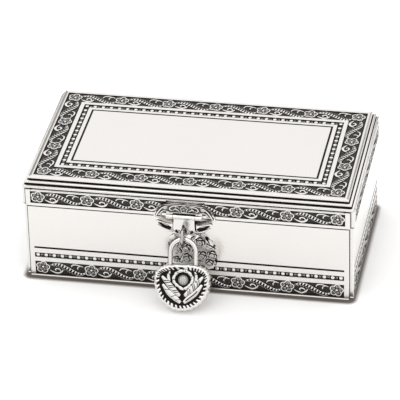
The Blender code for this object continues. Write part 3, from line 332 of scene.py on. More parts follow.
def oxide_group():
    """Silver that is polished where it stands out and black where it lies deep."""
    if "oxide" in bpy.data.node_groups:
        return bpy.data.node_groups["oxide"]
    group = SharedGroup("oxide", {
        "Lift": 1.0, "Silver": (0.9, 0.89, 0.87, 1.0), "Oxide": (0.01, 0.01, 0.01, 1.0), "From": 0.2, "To": 0.7,
        "Cloud": 0.12}, ("Color", "Roughness", "Metallic", "Specular"))
    given = group.given
    wander = (group.noise(900.0, 4.0, 0.6) - 0.5) * given["Cloud"]
    share = (given["Lift"] + wander).ramp(given["From"], given["To"])
    return group.give(Color=group.mix(share, given["Oxide"], given["Silver"]),
                      Roughness=share.ramp(0.0, 1.0, 0.6, 0.2), Metallic=share.ramp(0.0, 0.5),
                      Specular=share.ramp(0.0, 0.6, 0.06, 0.5))


def polish_group():
    """Fine wiping marks and soft cloudiness of hand-polished plate."""
    if "polish" in bpy.data.node_groups:
        return bpy.data.node_groups["polish"]
    group = SharedGroup("polish", {"Stretch": (40.0, 400.0, 400.0), "Amount": 0.04},
                        ("Height", "Shade", "Roughness"))
    marks = group.noise(6.0, 5.0, 0.65, group.stretched(group.given["Stretch"]))
    soft = group.noise(22.0, 2.0, 0.5) - 0.5
    return group.give(Height=marks, Shade=soft.math("MULTIPLY_ADD", group.given["Amount"], 1.0),
                      Roughness=marks.math("MULTIPLY_ADD", 0.1, 0.13))


def lift_material(name, colours, low=0.25, high=0.7, edge=0.0):
    """Silver with black recesses told apart by the piece's own lift attribute, and painted shade where it turns away.
    """
    finish = Finish(name, 1.0, 0.2)
    lift = finish.node("Attribute", output="Fac", attribute_name="lift")
    out = finish.group(oxide_group(), Lift=lift, Silver=tuple(colours.silver), Oxide=tuple(colours.grime), From=low,
                       To=high)
    wipe = finish.group(polish_group(), Amount=0.08)
    shade = finish.scaled(out["Color"], wipe["Shade"])
    # Painted shade: black is mixed in where the surface turns away from the view, by the share given
    if edge:
        shade = finish.mix(finish.facing().ramp(0.65, 0.95, 0.0, edge), shade, tuple(colours.grime))
    return finish.dress(Base_Color=shade, Roughness=out["Roughness"], Metallic=out["Metallic"],
                        Specular_IOR_Level=out["Specular"], Normal=finish.bump(wipe["Height"], 0.05, MARKS_DEPTH))


def band_stops(bands, reach, silver, grime):
    """Ramp stops for sunk bands: black along their edges, and the given ground between."""
    stops = [(0.0, silver)]
    for low, high, floor in bands:
        inner = ()
        if floor != grime:
            inner = ((low + BAND_FADE, grime), (low + 3 * BAND_FADE, floor), (high - 3 * BAND_FADE, floor),
                     (high - BAND_FADE, grime))
        stops.append((low / reach - STOP_GAP, silver))
        stops += [(place / reach, shade) for place, shade in ((low, grime), *inner, (high, grime))]
        stops.append((high / reach + STOP_GAP, silver))
    stops.append((1.0, silver))
    return stops


def band_zones(finish, height, bands, reach, colours):
    """Ground colours of the sunk bands, with a fine speckle."""
    zones = finish.stops(height, band_stops(bands, reach, tuple(colours.silver), tuple(colours.grime)))
    return finish.scaled(zones, finish.noise(1500.0, 3.0, 0.7).ramp(0.3, 0.7, 0.7, 1.25))


def plated(finish, colours, mask, zones):
    """Silver with wiping marks, and the ground colours in its sunk bands. Gives the shade and the bumped normal."""
    wipe = finish.group(polish_group())
    finish.dress(Roughness=mask.ramp(0.0, 1.0, 0.2, 0.5))
    return (finish.mix(mask, finish.scaled(tuple(colours.silver), wipe["Shade"]), zones),
            finish.bump(wipe["Height"], 0.04, MARKS_DEPTH))


def plate_material(name, colours, half_x, half_y, foot, reach, bands, end_is_x, seam_at_top, corner_shade_reach):
    """Pressed plate of a box side: black in its sunk bands, painted shade in the corner gap and seam, bright elsewhere.
    """
    finish = Finish(name, 1.0, 0.18)
    grime = tuple(colours.grime)
    x, y, z = finish.axes()
    from_x = half_x - abs(x)
    from_y = half_y - abs(y)
    along = from_x.math("MAXIMUM", from_y)
    height = (z - foot) * (1 / reach)
    zones = band_zones(finish, height, bands, reach, colours)
    zones = finish.mix(along.ramp(BAND_END + 0.3 * MM, BAND_END + 1.2 * MM), grime, zones)
    sunk = from_x.math("MINIMUM", from_y).ramp(0.04 * MM, 0.18 * MM)
    for low, high, _ in bands:
        if high - low < BEAD_CHANNEL_LEAST:
            sunk = sunk.math("MAXIMUM", height.math("COMPARE", (low + high) / 2 / reach, (high - low) / 2 / reach))
    mask = sunk * along.math("GREATER_THAN", BAND_END - 0.1 * MM)
    shade, normal = plated(finish, colours, mask, zones)
    # Painted shade in the corner gap: black on the side's end within the notch, from its reach inwards
    near, far = (from_x, from_y) if end_is_x else (from_y, from_x)
    start = PLATE_NOTCH - corner_shade_reach
    painted_gap_shade = far.ramp(start, start + 0.2 * MM) * near.math("LESS_THAN", PLATE_NOTCH + 0.05 * MM)
    # Painted shade along the lid's seam: black at the case's top edge and at the skirt's foot
    rise = (foot + reach) - z if seam_at_top else z - foot
    painted_gap_shade = painted_gap_shade.math("MAXIMUM", rise.ramp(1.6 * SEAM_SHADE, SEAM_SHADE))
    shade = finish.mix(painted_gap_shade, shade, grime)
    # Painted shade where the plate turns away from the view
    shade = finish.mix(finish.facing().ramp(0.86, 1.0, 0.0, 0.6), shade, grime)
    if seam_at_top:
        roll = z.ramp(BAND_FOOT - 0.1 * MM, BAND_FOOT - 0.3 * MM, 0.0, FOOT_ROLL)
        normal = finish.leaning(normal, roll, 2)
    return finish.dress(Base_Color=shade, Normal=normal)


def top_material(colours):
    """Plate of the lid's top: bands told apart by how far they lie in from its edge."""
    finish = Finish("silver_top_plate", 1.0, 0.18)
    grime = tuple(colours.grime)
    x, y, z = finish.axes()
    from_x = TOP_HIGH.x - abs(x)
    from_y = TOP_HIGH.y - abs(y)
    inset = from_x.math("MINIMUM", from_y)
    depth = TOP_HIGH.z - z
    channel = TOP_BORDER + TOP_BAND + TOP_STRIP
    line = channel + TOP_CHANNEL + TOP_STRIP
    bands = ((TOP_BORDER, TOP_BORDER + TOP_BAND, tuple(colours.ground)), (channel, channel + TOP_CHANNEL, grime),
             (line - LINE_SPREAD, line + LINE_HEIGHT + LINE_SPREAD, grime))
    zones = band_zones(finish, inset * (1 / TOP_REACH), bands, TOP_REACH, colours)
    engraved = inset.math("COMPARE", line + LINE_HEIGHT / 2, LINE_HEIGHT / 2 + LINE_SPREAD)
    sunk = depth.ramp(0.04 * MM, 0.16 * MM).math("MAXIMUM", engraved)
    mask = sunk * inset.math("GREATER_THAN", TOP_BORDER / 2)
    shade, normal = plated(finish, colours, mask, zones)
    # Painted shade under the top's edge: black from 1.0 to 1.4 mm below the face, within half the border of the rim
    under = depth.ramp(1.0 * MM, 1.4 * MM) * inset.math("LESS_THAN", TOP_BORDER / 2)
    streak = finish.noise(1.0, 3.0, 0.6, finish.stretched((900.0, 12.0, 12.0)))
    roll = from_x.ramp(TOP_BORDER, 0.5 * MM, 0.0, END_ROLL) * from_x.math("LESS_THAN", from_y)
    roll = roll * (x.math("SIGN") * (streak + 0.5))
    return finish.dress(Base_Color=finish.mix(under, shade, grime), Normal=finish.leaning(normal, roll, 0))


def metal_material(name, shade, roughness, amount=0.1, edge=0.0):
    """Plain polished metal with wiping marks. Its edges get a painted reflection of a dark room, by the share given."""
    finish = Finish(name, 1.0, roughness)
    wipe = finish.group(polish_group(), Amount=amount)
    shade = finish.scaled(shade, wipe["Shade"])
    # Painted reflection: near-black is mixed in where the surface turns away from the view
    if edge:
        shade = finish.mix(finish.facing().ramp(0.24, 0.5, 0.0, edge), shade, (0.02, 0.02, 0.02))
    return finish.dress(Base_Color=shade, Roughness=wipe["Roughness"] + (roughness - 0.18),
                        Normal=finish.bump(wipe["Height"], 0.08, MARKS_DEPTH))


def wood_material(colours):
    """Plain sawn hardwood, its grain along the box."""
    finish = Finish("carcass_hardwood", 0.0, 0.6)
    grain = finish.noise(2.0, 6.0, 0.65, finish.stretched((12.0, 160.0, 160.0)))
    late = tuple(colours.wood)
    early = tuple(min(share * 1.9, 1.0) for share in late)
    return finish.dress(Base_Color=finish.mix(grain.ramp(0.35, 0.65), early, late),
                        Roughness=grain.ramp(0.3, 0.7, 0.5, 0.7), Normal=finish.bump(grain, 0.3, 0.2 * MM))


def pile_material(name, shade, sheen, scale):
    """Velvet or felt: short pile that catches light at its edges."""
    finish = Finish(name, 0.0, 0.95)
    nap = finish.noise(scale, 4.0, 0.7)
    lay = finish.noise(35.0, 2.0, 0.5)
    share = nap.ramp(0.3, 0.7, 0.75, 1.3) * lay.ramp(0.35, 0.65, 0.75, 1.25)
    return finish.dress(Base_Color=finish.scaled(shade, share), Sheen_Weight=sheen, Sheen_Roughness=0.35,
                        Specular_IOR_Level=0.1, Normal=finish.bump(nap, 0.5, 0.15 * MM))


def face_material(name, colours, face_y):
    """Cast silver with a dark ground on its front face and bright edges."""
    finish = Finish(name, 1.0, 0.3)
    y, z = finish.axes()[1:]
    flat = abs(y - face_y).math("LESS_THAN", 0.05 * MM) * z.math("GREATER_THAN", BAR_FOOT)
    cloud = finish.noise(700.0, 4.0, 0.6).ramp(0.35, 0.65)
    ground = finish.mix(cloud, (0.05, 0.047, 0.045), (0.22, 0.21, 0.2))
    return finish.dress(Base_Color=finish.mix(flat, tuple(colours.silver), ground))


def spray_material(colours):
    """Silver roses with black feet on a ground painted paler than the plain silver, as painted light."""
    # Painted light: whiter and less metallic than the plain silver, so the spray in the padlock's shade reads bright
    finish = Finish("silver_cast_spray", 0.85, 0.16)
    rise = SPRAY_FACE - finish.axes()[1]
    foot = rise.ramp(0.02 * MM, 0.08 * MM) * rise.ramp(1.6 * MM, 1.05 * MM)
    return finish.dress(Base_Color=finish.mix(foot, (0.98, 0.965, 0.95), tuple(colours.grime)),
                        Specular_IOR_Level=foot.ramp(0.0, 1.0, 0.5, 0.06))


def values(items, field, size=1, kind=np.float32):
    """A field of every item, in one flat array."""
    found = np.zeros(len(items) * size, kind)
    items.foreach_get(field, found)
    return found


def linked(name, data):
    """A new object in the scene."""
    made = bpy.data.objects.new(name, data)
    bpy.context.scene.collection.objects.link(made)
    return made


def baked(holder):
    """The mesh that an object's modifiers make. The object is removed."""
    bpy.context.view_layer.update()
    made = bpy.data.meshes.new_from_object(holder.evaluated_get(bpy.context.evaluated_depsgraph_get()))
    holder.modifiers.clear()
    bpy.data.objects.remove(holder)
    return made


def smoothed(mesh, degrees=0):
    """Smooth shading, with the edges that turn by more than the given angle left sharp."""
    mesh.shade_smooth()
    if degrees:
        mesh.set_sharp_from_angle(angle=math.radians(degrees))
    return mesh


def paint(obj, material):
    obj.data.materials.clear()
    obj.data.materials.append(material)
    return obj


def object_from_mesh(name, mesh, material, body, replaced=()):
    """Files a finished mesh as a piece that rides on a body."""
    made = paint(linked(name, mesh), material)
    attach(made, body)
    if replaced:
        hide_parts(*replaced)
    return made


def in_mm(points):
    return [(x * MM, y * MM) for x, y in points]


def mirrored(line, side, shift=0.0):
    """A line on the right, or its mirror image on the left where side is -1."""
    return [(side * x + shift, y) for x, y in line]


def aim(angle):
    return Vector((math.cos(angle), math.sin(angle)))


def across_line(line, index):
    """The level direction across a line at one of its points."""
    ahead = line[min(index + 1, len(line) - 1)] - line[max(index - 1, 0)]
    return Vector((-ahead.y, ahead.x, 0.0)).normalized()


def smooth_line(points, halves, steps=4):
    """A finer line, with its half widths, through the given points."""
    ends = [points[0], *points, points[-1]]
    fine = []
    fine_halves = []
    for index in range(len(points) - 1):
        a, b, c, d = (Vector((*ends[index + k][:2], 0.0)) for k in range(4))
        for step in range(steps):
            t = step / steps
            fine.append(0.5 * (2 * b + (c - a) * t + (2 * a - 5 * b + 4 * c - d) * t * t
                               + (3 * b - a - 3 * c + d) * t * t * t))
            fine_halves.append(halves[index] + (halves[index + 1] - halves[index]) * t)
    return fine + [Vector((*points[-1][:2], 0.0))], fine_halves + [halves[-1]]


class Solid:
    """A closed mesh under construction, with how far each point stands out from 0 to 1."""

    def __init__(self):
        self.shape = bmesh.new()
        self.lift = self.shape.verts.layers.float.new("lift")

    def vert(self, place, lift=0.0):
        made = self.shape.verts.new(place)
        made[self.lift] = lift
        return made

    def bridge(self, rings):
        """Faces from each ring of points to the next."""
        for near, far in zip(rings, rings[1:]):
            for index in range(len(near)):
                after = (index + 1) % len(near)
                self.shape.faces.new((near[index], near[after], far[after], far[index]))

    def cap(self, *rings):
        for ring in rings:
            self.shape.faces.new(ring)

    def fan(self, ring, tip):
        """Triangles from a ring to one point."""
        for index, vert in enumerate(ring):
            self.shape.faces.new((vert, ring[(index + 1) % len(ring)], tip))

    def mesh(self, name, matrix=Matrix.Identity(4), sharp=0):
        """The finished mesh, in its place."""
        bmesh.ops.recalc_face_normals(self.shape, faces=self.shape.faces)
        self.shape.transform(matrix)
        made = bpy.data.meshes.new(name)
        self.shape.to_mesh(made)
        self.shape.free()
        return smoothed(made, sharp)


# A rope's edges and bars, and a flower's petals as shares of its radius
ROPE_EDGE_INSET = 0.2 * MM
ROPE_EDGE_HALF = 0.14 * MM
ROPE_BAR_HALF = 0.5 * MM
ROPE_BAR_LEAN = Vector((0.5, 1.0, 0.0)).normalized()
PETAL_SHARE = 0.42
FLOWER_BOSS_SHARE = 0.21


class Relief(Solid):
    """Raised ornament on a flat ground."""

    def stroke(self, points, halves, height, steps=4, base=0.0, bright=1.0, flange=FLANGE_WIDTH):
        """A ridge along a line. Its half widths taper as given."""
        if isinstance(halves, float):
            halves = [halves] * len(points)
        line, widths = smooth_line(points, halves, steps)
        rings = []
        for index, (point, half) in enumerate(zip(line, widths)):
            across = across_line(line, index)
            crest = height * min(1.0, 0.35 + half / max(widths))
            outer = half + flange
            # The flange round the foot is dark: oxide with painted shade round the stroke
            section = [(-outer, -ROOT, 0.0), (-outer, FLANGE, 0.0)]
            section += [(over * half, FLANGE + (crest - FLANGE) * up, lift * bright)
                        for over, up, lift in STROKE_SECTION_SHARES]
            section += [(outer, FLANGE, 0.0), (outer, -ROOT, 0.0)]
            rings.append([self.vert(point + across * over + Vector((0, 0, base + up)), lift)
                          for over, up, lift in section])
        self.bridge(rings)
        self.cap(rings[0], rings[-1][::-1])

    def trace(self, line, halves, *settings):
        """A stroke whose line and half widths are given in millimetres."""
        self.stroke(in_mm(line), [half * MM for half in halves], *settings)

    def vein(self, points, halves, base, steps=1):
        """A thin black line laid on a bright form."""
        self.stroke(points, halves, VEIN_HEIGHT, steps, base, 0.0, VEIN_FLANGE)

    def dome(self, centre, radius, height, base=0.0, sides=12, rings=3, low=0.0, high=1.0):
        """A round boss on a dark foot of oxide and painted shade."""
        levels = [(1.25, -ROOT, 0.0), (1.25, FLANGE, 0.0), (1.0, FLANGE, low)]
        for ring in range(1, rings + 1):
            angle = ring * math.pi / 2 / (rings + 1)
            levels.append((math.cos(angle), FLANGE + height * math.sin(angle), low + (high - low) * ring / rings))
        made = []
        for share, up, lift in levels:
            flat = [Vector(centre[:2]) + aim(2 * math.pi * k / sides) * radius * share for k in range(sides)]
            made.append([self.vert((*place, base + up), lift) for place in flat])
        self.bridge(made)
        self.cap(made[0][::-1])
        self.fan(made[-1], self.vert((*centre[:2], base + height), high))

    def flower(self, centre, radius, height, angles):
        """Petals with raised rims and veins round a small boss."""
        centre = Vector(centre)
        petal = radius * PETAL_SHARE
        for degrees in angles:
            turn = math.radians(degrees)
            away = aim(turn)
            mid = centre + away * (radius - petal * 1.08)
            self.dome(mid, petal * 0.86, height * 0.28, sides=10, rings=1, high=0.22)
            rim = [mid + aim(turn + math.radians(step * 36)) * petal for step in range(-3, 4)]
            self.stroke(rim, [share * petal for share in (0.12, 0.25, 0.25, 0.25, 0.25, 0.25, 0.12)], height, 2)
            side = Vector((-away.y, away.x)) * petal * 0.3
            for shift in (-1, 1):
                start = centre + away * radius * 0.27 + side * shift * 0.6
                end = centre + away * radius * 0.72 + side * shift
                self.stroke([start, end], [0.07 * petal, 0.12 * petal], height * 0.62, 1, 0.0, 0.6)
        self.dome(centre, radius * FLOWER_BOSS_SHARE, height, sides=8, rings=2)

    def rope(self, points, halves, height, bars):
        """A flat rope: two edges and slanted bars between them."""
        line, widths = smooth_line(points, halves, 3)
        self.stroke(points, halves, FLANGE * 1.5, 3, 0.0, 0.0)
        for side in (-1, 1):
            edge = [point + across_line(line, index) * side * max(widths[index] - ROPE_EDGE_INSET, 0.0)
                    for index, point in enumerate(line)]
            self.stroke(edge[::2], ROPE_EDGE_HALF, height * 0.7, 1, 0.0, 0.7)
        along = np.cumsum([0.0] + [(b - a).length for a, b in zip(line, line[1:])])
        tracks = ([point.x for point in line], [point.y for point in line], widths)
        for bar in range(bars):
            place = along[-1] * (bar + 1.2) / (bars + 1.4)
            x, y, half = (np.interp(place, along, track) for track in tracks)
            if half >= ROPE_BAR_HALF:
                lean = ROPE_BAR_LEAN * (half - ROPE_EDGE_INSET)
                mid = Vector((x, y, 0.0))
                self.stroke([mid - lean, mid + lean], ROPE_BAR_HALF, height, 1)

    def leaf(self, axis, half, height, base, veins=0, vein_half=0.1, midrib=0.0):
        """A bright leaf with black veins. Its axis, from root to tip, and its widths are in millimetres."""
        line = [Vector(point) for point in in_mm(axis)]
        while len(line) < 4:
            line = [line[0], line[0].lerp(line[1], 0.5)] + line[1:]
        shares = [math.sin(math.pi * (0.1 + 0.85 * index / (len(line) - 1))) ** 0.6 for index in range(len(line))]
        self.stroke(line, [share * half * MM for share in shares], height, 4, base)
        fine, widths = smooth_line(line, shares, 4)
        if midrib:
            self.vein(fine[2:-3], midrib * MM, base + height)
        for number in range(veins):
            index = round((len(fine) - 1) * (0.14 + 0.62 * number / max(veins - 1, 1)))
            ahead = (fine[index + 1] - fine[index]).normalized()
            across = Vector((-ahead.y, ahead.x, 0.0)) * half * MM * widths[index]
            lean = ahead * half * MM * 0.7
            start = fine[index] - across * 0.85 - lean * 0.3
            end = fine[index] + across * 0.5 + lean
            self.vein([start, end], [vein_half * MM * 0.7, vein_half * MM], base + height * 0.95)


def merged(name, meshes):
    """One mesh from several, which are removed, with their lift attribute kept."""
    starts = np.cumsum([0] + [len(mesh.vertices) for mesh in meshes])
    corners = np.concatenate([values(mesh.loops, "vertex_index", kind=np.int32) + int(start)
                              for mesh, start in zip(meshes, starts)])
    totals = np.concatenate([values(mesh.polygons, "loop_total", kind=np.int32) for mesh in meshes])
    lifts = np.concatenate([values(mesh.attributes["lift"].data, "value") for mesh in meshes])
    made = bpy.data.meshes.new(name)
    made.vertices.add(int(starts[-1]))
    made.vertices.foreach_set("co", np.concatenate([values(mesh.vertices, "co", 3) for mesh in meshes]))
    made.loops.add(len(corners))
    made.loops.foreach_set("vertex_index", corners)
    made.polygons.add(len(totals))
    made.polygons.foreach_set("loop_start", np.concatenate(([0], np.cumsum(totals)[:-1])).astype(np.int32))
    made.update(calc_edges=True)
    made.attributes.new("lift", "FLOAT", "POINT").data.foreach_set("value", lifts)
    for mesh in meshes:
        bpy.data.meshes.remove(mesh)
    return smoothed(made)


def row_tree():
    """Geometry nodes: an ornament repeated along a straight row."""
    if "ornament_row" in bpy.data.node_groups:
        return bpy.data.node_groups["ornament_row"]
    tree = bpy.data.node_groups.new("ornament_row", "GeometryNodeTree")
    for label, kind in {"Geometry": "Geometry", "Ornament": "Object", "Count": "Int", "First": "Vector",
                        "Step": "Vector", "Size": "Vector", "Material": "Material"}.items():
        tree.interface.new_socket(label, in_out="INPUT", socket_type="NodeSocket" + kind)
    tree.interface.new_socket("Geometry", in_out="OUTPUT", socket_type="NodeSocketGeometry")
    given, line, picked, placed, real, painted, result = (tree.nodes.new(kind) for kind in (
        "NodeGroupInput", "GeometryNodeMeshLine", "GeometryNodeObjectInfo", "GeometryNodeInstanceOnPoints",
        "GeometryNodeRealizeInstances", "GeometryNodeSetMaterial", "NodeGroupOutput"))
    for source, output, target, entry in (
            (given, "Count", line, "Count"), (given, "First", line, "Start Location"), (given, "Step", line, "Offset"),
            (given, "Ornament", picked, "Object"), (line, "Mesh", placed, "Points"),
            (picked, "Geometry", placed, "Instance"), (given, "Size", placed, "Scale"),
            (placed, "Instances", real, "Geometry"), (real, "Geometry", painted, "Geometry"),
            (given, "Material", painted, "Material"), (painted, "Geometry", result, "Geometry")):
        tree.links.new(source.outputs[output], target.inputs[entry])
    return tree


def row_of(ornament, number, first, step, size, material, matrix):
    """The plain mesh of a row that the geometry nodes make."""
    given = {"Ornament": ornament, "Count": number, "First": (first, 0.0, 0.0), "Step": (step, 0.0, 0.0),
             "Size": size, "Material": material}
    carrier = linked("row", bpy.data.meshes.new("row"))
    modifier = carrier.modifiers.new("nodes", "NODES")
    modifier.node_group = row_tree()
    for item in modifier.node_group.interface.items_tree:
        if item.in_out == "INPUT" and item.name in given:
            modifier[item.identifier] = given[item.name]
    made = baked(carrier)
    made.transform(matrix)
    return made


def vine_mesh(sizes):
    """Everything of a motif but its flower: rope, crescent leaf and hooked leaf."""
    relief = Relief()
    relief.rope(in_mm(ROPE_LINE), [half * MM for half in ROPE_HALVES], sizes.relief, ROPE_BARS)
    for line, halves in MOTIF_STROKES:
        relief.trace(line, halves, sizes.relief, 3)
    return relief.mesh("vine")


def flower_mesh(sizes):
    relief = Relief()
    relief.flower((0.0, 0.0), sizes.flower_radius, sizes.relief, PETAL_ANGLES)
    return relief.mesh("flower")


def bead_mesh(sizes):
    """A bead, with the small double reel that follows it."""
    relief = Relief()
    relief.dome((0.0, 0.0), sizes.bead_radius, sizes.relief)
    tall = 0.55 * sizes.bead_radius
    for shift in (-0.35 * MM, 0.35 * MM):
        place = sizes.bead_pitch / 2 + shift
        relief.stroke([(place, -tall), (place, tall)], 0.16 * MM, sizes.relief * 0.6, 1, 0.0, 0.55)
    return relief.mesh("bead")


def sides_of(half_x, half_y, middle):
    """Half width of each side, starting with the front, and the way from a band's flat plane to it."""
    for number, (half, reach) in enumerate(((half_x, half_y), (half_y, half_x)) * 2):
        yield half, (Matrix.Rotation(math.pi / 2 * number, 4, "Z")
                     @ Matrix.Translation((0, BAND_DEPTH - reach, middle)) @ Matrix.Rotation(math.pi / 2, 4, "X"))


def band_rows(sizes, vine, flower, material, half_x, half_y, middle, tall):
    """Vines and flowers round the four sides of a box."""
    meshes = []
    for half, matrix in sides_of(half_x, half_y, middle):
        motifs = sizes.long_motifs if half == half_x else sizes.short_motifs
        end = half - BAND_END - BAND_END_ROOM
        step = 2 * end / motifs
        size = (step / (MOTIF_PITCH * MM), tall, 1.0)
        meshes += [row_of(vine, motifs, -end, step, size, material, matrix),
                   row_of(flower, motifs + 1, -end, step, (1.0, tall, 1.0), material, matrix)]
    return meshes


def bead_rows(sizes, bead, material):
    """Beads round the four sides of the case."""
    meshes = []
    for half, matrix in sides_of(CASE_HALF_X, CASE_HALF_Y, CHANNEL_FOOT + CHANNEL_HEIGHT / 2):
        end = half - BAND_END - BEAD_END_ROOM
        gaps = round(2 * end / sizes.bead_pitch)
        meshes.append(row_of(bead, gaps + 1, -end, 2 * end / gaps, (1.0, 1.0, 1.0), material, matrix))
    return meshes


def top_sides(inset):
    """The long rows of the lid's top and then its short ones, each with its half length and its place.

    The short rows leave their first and last place to the long ones.
    """
    half_x = TOP_HIGH.x - inset
    half_y = TOP_HIGH.y - inset
    ground = TOP_HIGH.z - BAND_DEPTH
    turn = Matrix.Rotation(-math.pi / 2, 4, "Z")
    for side in (-1, 1):
        yield half_x, 0, Matrix.Translation((0, side * half_y, ground))
    for side in (-1, 1):
        yield half_y, 1, Matrix.Translation((side * half_x, 0, ground)) @ turn


def top_rows(sizes, vine, flower, material):
    """The flower band of the lid's top, with a flower on each corner."""
    meshes = []
    for half, short, matrix in top_sides(TOP_BORDER + TOP_BAND / 2):
        motifs = sizes.short_motifs if short else sizes.long_motifs
        step = 2 * half / motifs
        size = (step / (MOTIF_PITCH * MM), TOP_BAND / BAND_HEIGHT, 1.0)
        meshes += [row_of(vine, motifs, -half, step, size, material, matrix),
                   row_of(flower, motifs + 1 - 2 * short, short * step - half, step, (1.0, 1.0, 1.0), material,
                          matrix)]
    return meshes


def top_bead_rows(sizes, bead, material):
    meshes = []
    for half, short, matrix in top_sides(TOP_BORDER + TOP_BAND + TOP_STRIP + TOP_CHANNEL / 2):
        gaps = round(2 * half / sizes.bead_pitch)
        step = 2 * half / gaps
        meshes.append(row_of(bead, gaps + 1 - 2 * short, short * step - half, step, (1.0, 1.0, 1.0), material,
                             matrix))
    return meshes


class JEWELRYBOX_OT_studio(Operator):
    """Pale floor, white surround, soft light and the camera"""

    bl_idname = "jewelrybox.studio"
    bl_label = "Studio"

    def execute(self, context):
        scene = context.scene
        scene.view_settings.view_transform = "Standard"
        make_world(scene, scene.jewelrybox_colours.studio)
        make_floor()
        make_light()
        make_camera(scene)
        return {"FINISHED"}


WHITE = (1.0, 1.0, 1.0)
# Greys of the surround, from straight below at 0 to straight above at 1
SURROUND = (
    (0.0, WHITE), (0.42, (0.9, 0.9, 0.9)), (0.5, (0.48, 0.46, 0.44)), (0.6, (0.55, 0.53, 0.51)),
    (0.67, (0.86, 0.86, 0.86)), (0.78, (0.9, 0.9, 0.9)), (0.9, WHITE), (1.0, WHITE),
)


def make_world(scene, strength):
    """White all round, with a grey band low down that draws the edges of polished metal."""
    world = bpy.data.worlds.new("studio")
    scene.world = world
    world.use_nodes = True
    graph = Graph(world.node_tree)
    back = graph.tree.nodes["Background"]
    shade = graph.stops(graph.axes()[2].math("MULTIPLY_ADD", 0.5, 0.5), SURROUND)
    graph.feed(back.inputs["Color"], graph.mix(graph.camera_ray(), shade, WHITE))
    graph.feed(back.inputs["Strength"], strength)


# The floor gets a painted shadow under the case's rounded outline, and glows a little. Mirrors see a card on its right
FLOOR_HALF = 3.0
CONTACT_ROUND = 3.0 * MM
CONTACT_SHIFT = 2.0 * MM
CONTACT_START = 0.1 * MM
CONTACT_END = 3.6 * MM
FLOOR_GLOW = 0.08
MIRRORED_GLOW = 0.035
CARD_GLOW = 0.3
CARD_START = (1.0 * MM, 8.0 * MM)
CARD_FADE = (40.0 * MM, 20.0 * MM)


def make_floor():
    """A pale floor, with a painted shadow where the box nearly touches it."""
    mesh = bpy.data.meshes.new("floor")
    corners = ((-1, -1), (1, -1), (1, 1), (-1, 1))
    mesh.from_pydata([(x * FLOOR_HALF, y * FLOOR_HALF, 0) for x, y in corners], [], [(0, 1, 2, 3)])
    finish = Finish("pale_floor", 0.0, 0.8)
    pale = finish.mix(finish.noise(40.0).ramp(0.3, 0.7), (0.94, 0.94, 0.935), (0.955, 0.955, 0.95))
    x, y = finish.axes()[:2]
    over_x, over_y = ((abs(off) - (half - CONTACT_ROUND)).math("MAXIMUM", 0.0)
                      for off, half in ((x, CASE_HALF_X), (y + CONTACT_SHIFT, CASE_HALF_Y)))
    beyond = (over_x * over_x + over_y * over_y).math("SQRT") - CONTACT_ROUND
    clear = beyond.ramp(CONTACT_START, CONTACT_END)
    seen = finish.camera_ray()
    beside = x - CASE_HALF_X
    card = beside.ramp(*CARD_START, 0.0, CARD_GLOW) * beside.ramp(*CARD_FADE) * (1.0 - seen)
    # Painted contact shadow: near the case's outline the floor is dark brown and does not glow
    finish.dress(Base_Color=finish.mix(clear, (0.14, 0.115, 0.1), pale),
                 Emission_Color=finish.mix(clear, (0.0, 0.0, 0.0), WHITE),
                 Emission_Strength=seen.math("MULTIPLY_ADD", FLOOR_GLOW, MIRRORED_GLOW) + card,
                 Specular_IOR_Level=0.2)
    paint(linked("floor", mesh), finish.material)


KEY_PLACE = Vector((-0.5, -1.0, 2.4))
KEY_SIZE = 1.4
KEY_POWER = 5.0


def make_light():
    """A large soft light from the upper left, in front."""
    light = bpy.data.lights.new("key", "AREA")
    light.size = KEY_SIZE
    light.energy = KEY_POWER
    holder = linked("key", light)
    holder.location = KEY_PLACE
    holder.rotation_euler = (-KEY_PLACE).to_track_quat("-Z", "Y").to_euler()


CAMERA_TARGET = Vector((-0.45, -10.86, 33.0)) * MM
CAMERA_DISTANCE = 1828.5 * MM
CAMERA_AZIMUTH = math.radians(11.155)
CAMERA_ELEVATION = math.radians(31.403)
CAMERA_ROLL = math.radians(-1.539)
CAMERA_LENS = 286.36
CAMERA_SENSOR = 36.0
CAMERA_REACH = 10.0


def make_camera(scene):
    """The photograph's view: a long lens, above and a little to the right."""
    level = math.cos(CAMERA_ELEVATION)
    back = Vector((math.sin(CAMERA_AZIMUTH) * level, -math.cos(CAMERA_AZIMUTH) * level, math.sin(CAMERA_ELEVATION)))
    level = (-back).cross(Vector((0, 0, 1))).normalized()
    above = level.cross(-back)
    right = math.cos(CAMERA_ROLL) * level + math.sin(CAMERA_ROLL) * above
    up = -math.sin(CAMERA_ROLL) * level + math.cos(CAMERA_ROLL) * above
    data = bpy.data.cameras.new("camera")
    data.lens = CAMERA_LENS
    data.sensor_width = CAMERA_SENSOR
    data.clip_end = CAMERA_REACH
    place = Matrix((right, up, back)).transposed().to_4x4()
    place.translation = CAMERA_TARGET + back * CAMERA_DISTANCE
    scene.camera = linked("camera", data)
    scene.camera.matrix_world = place


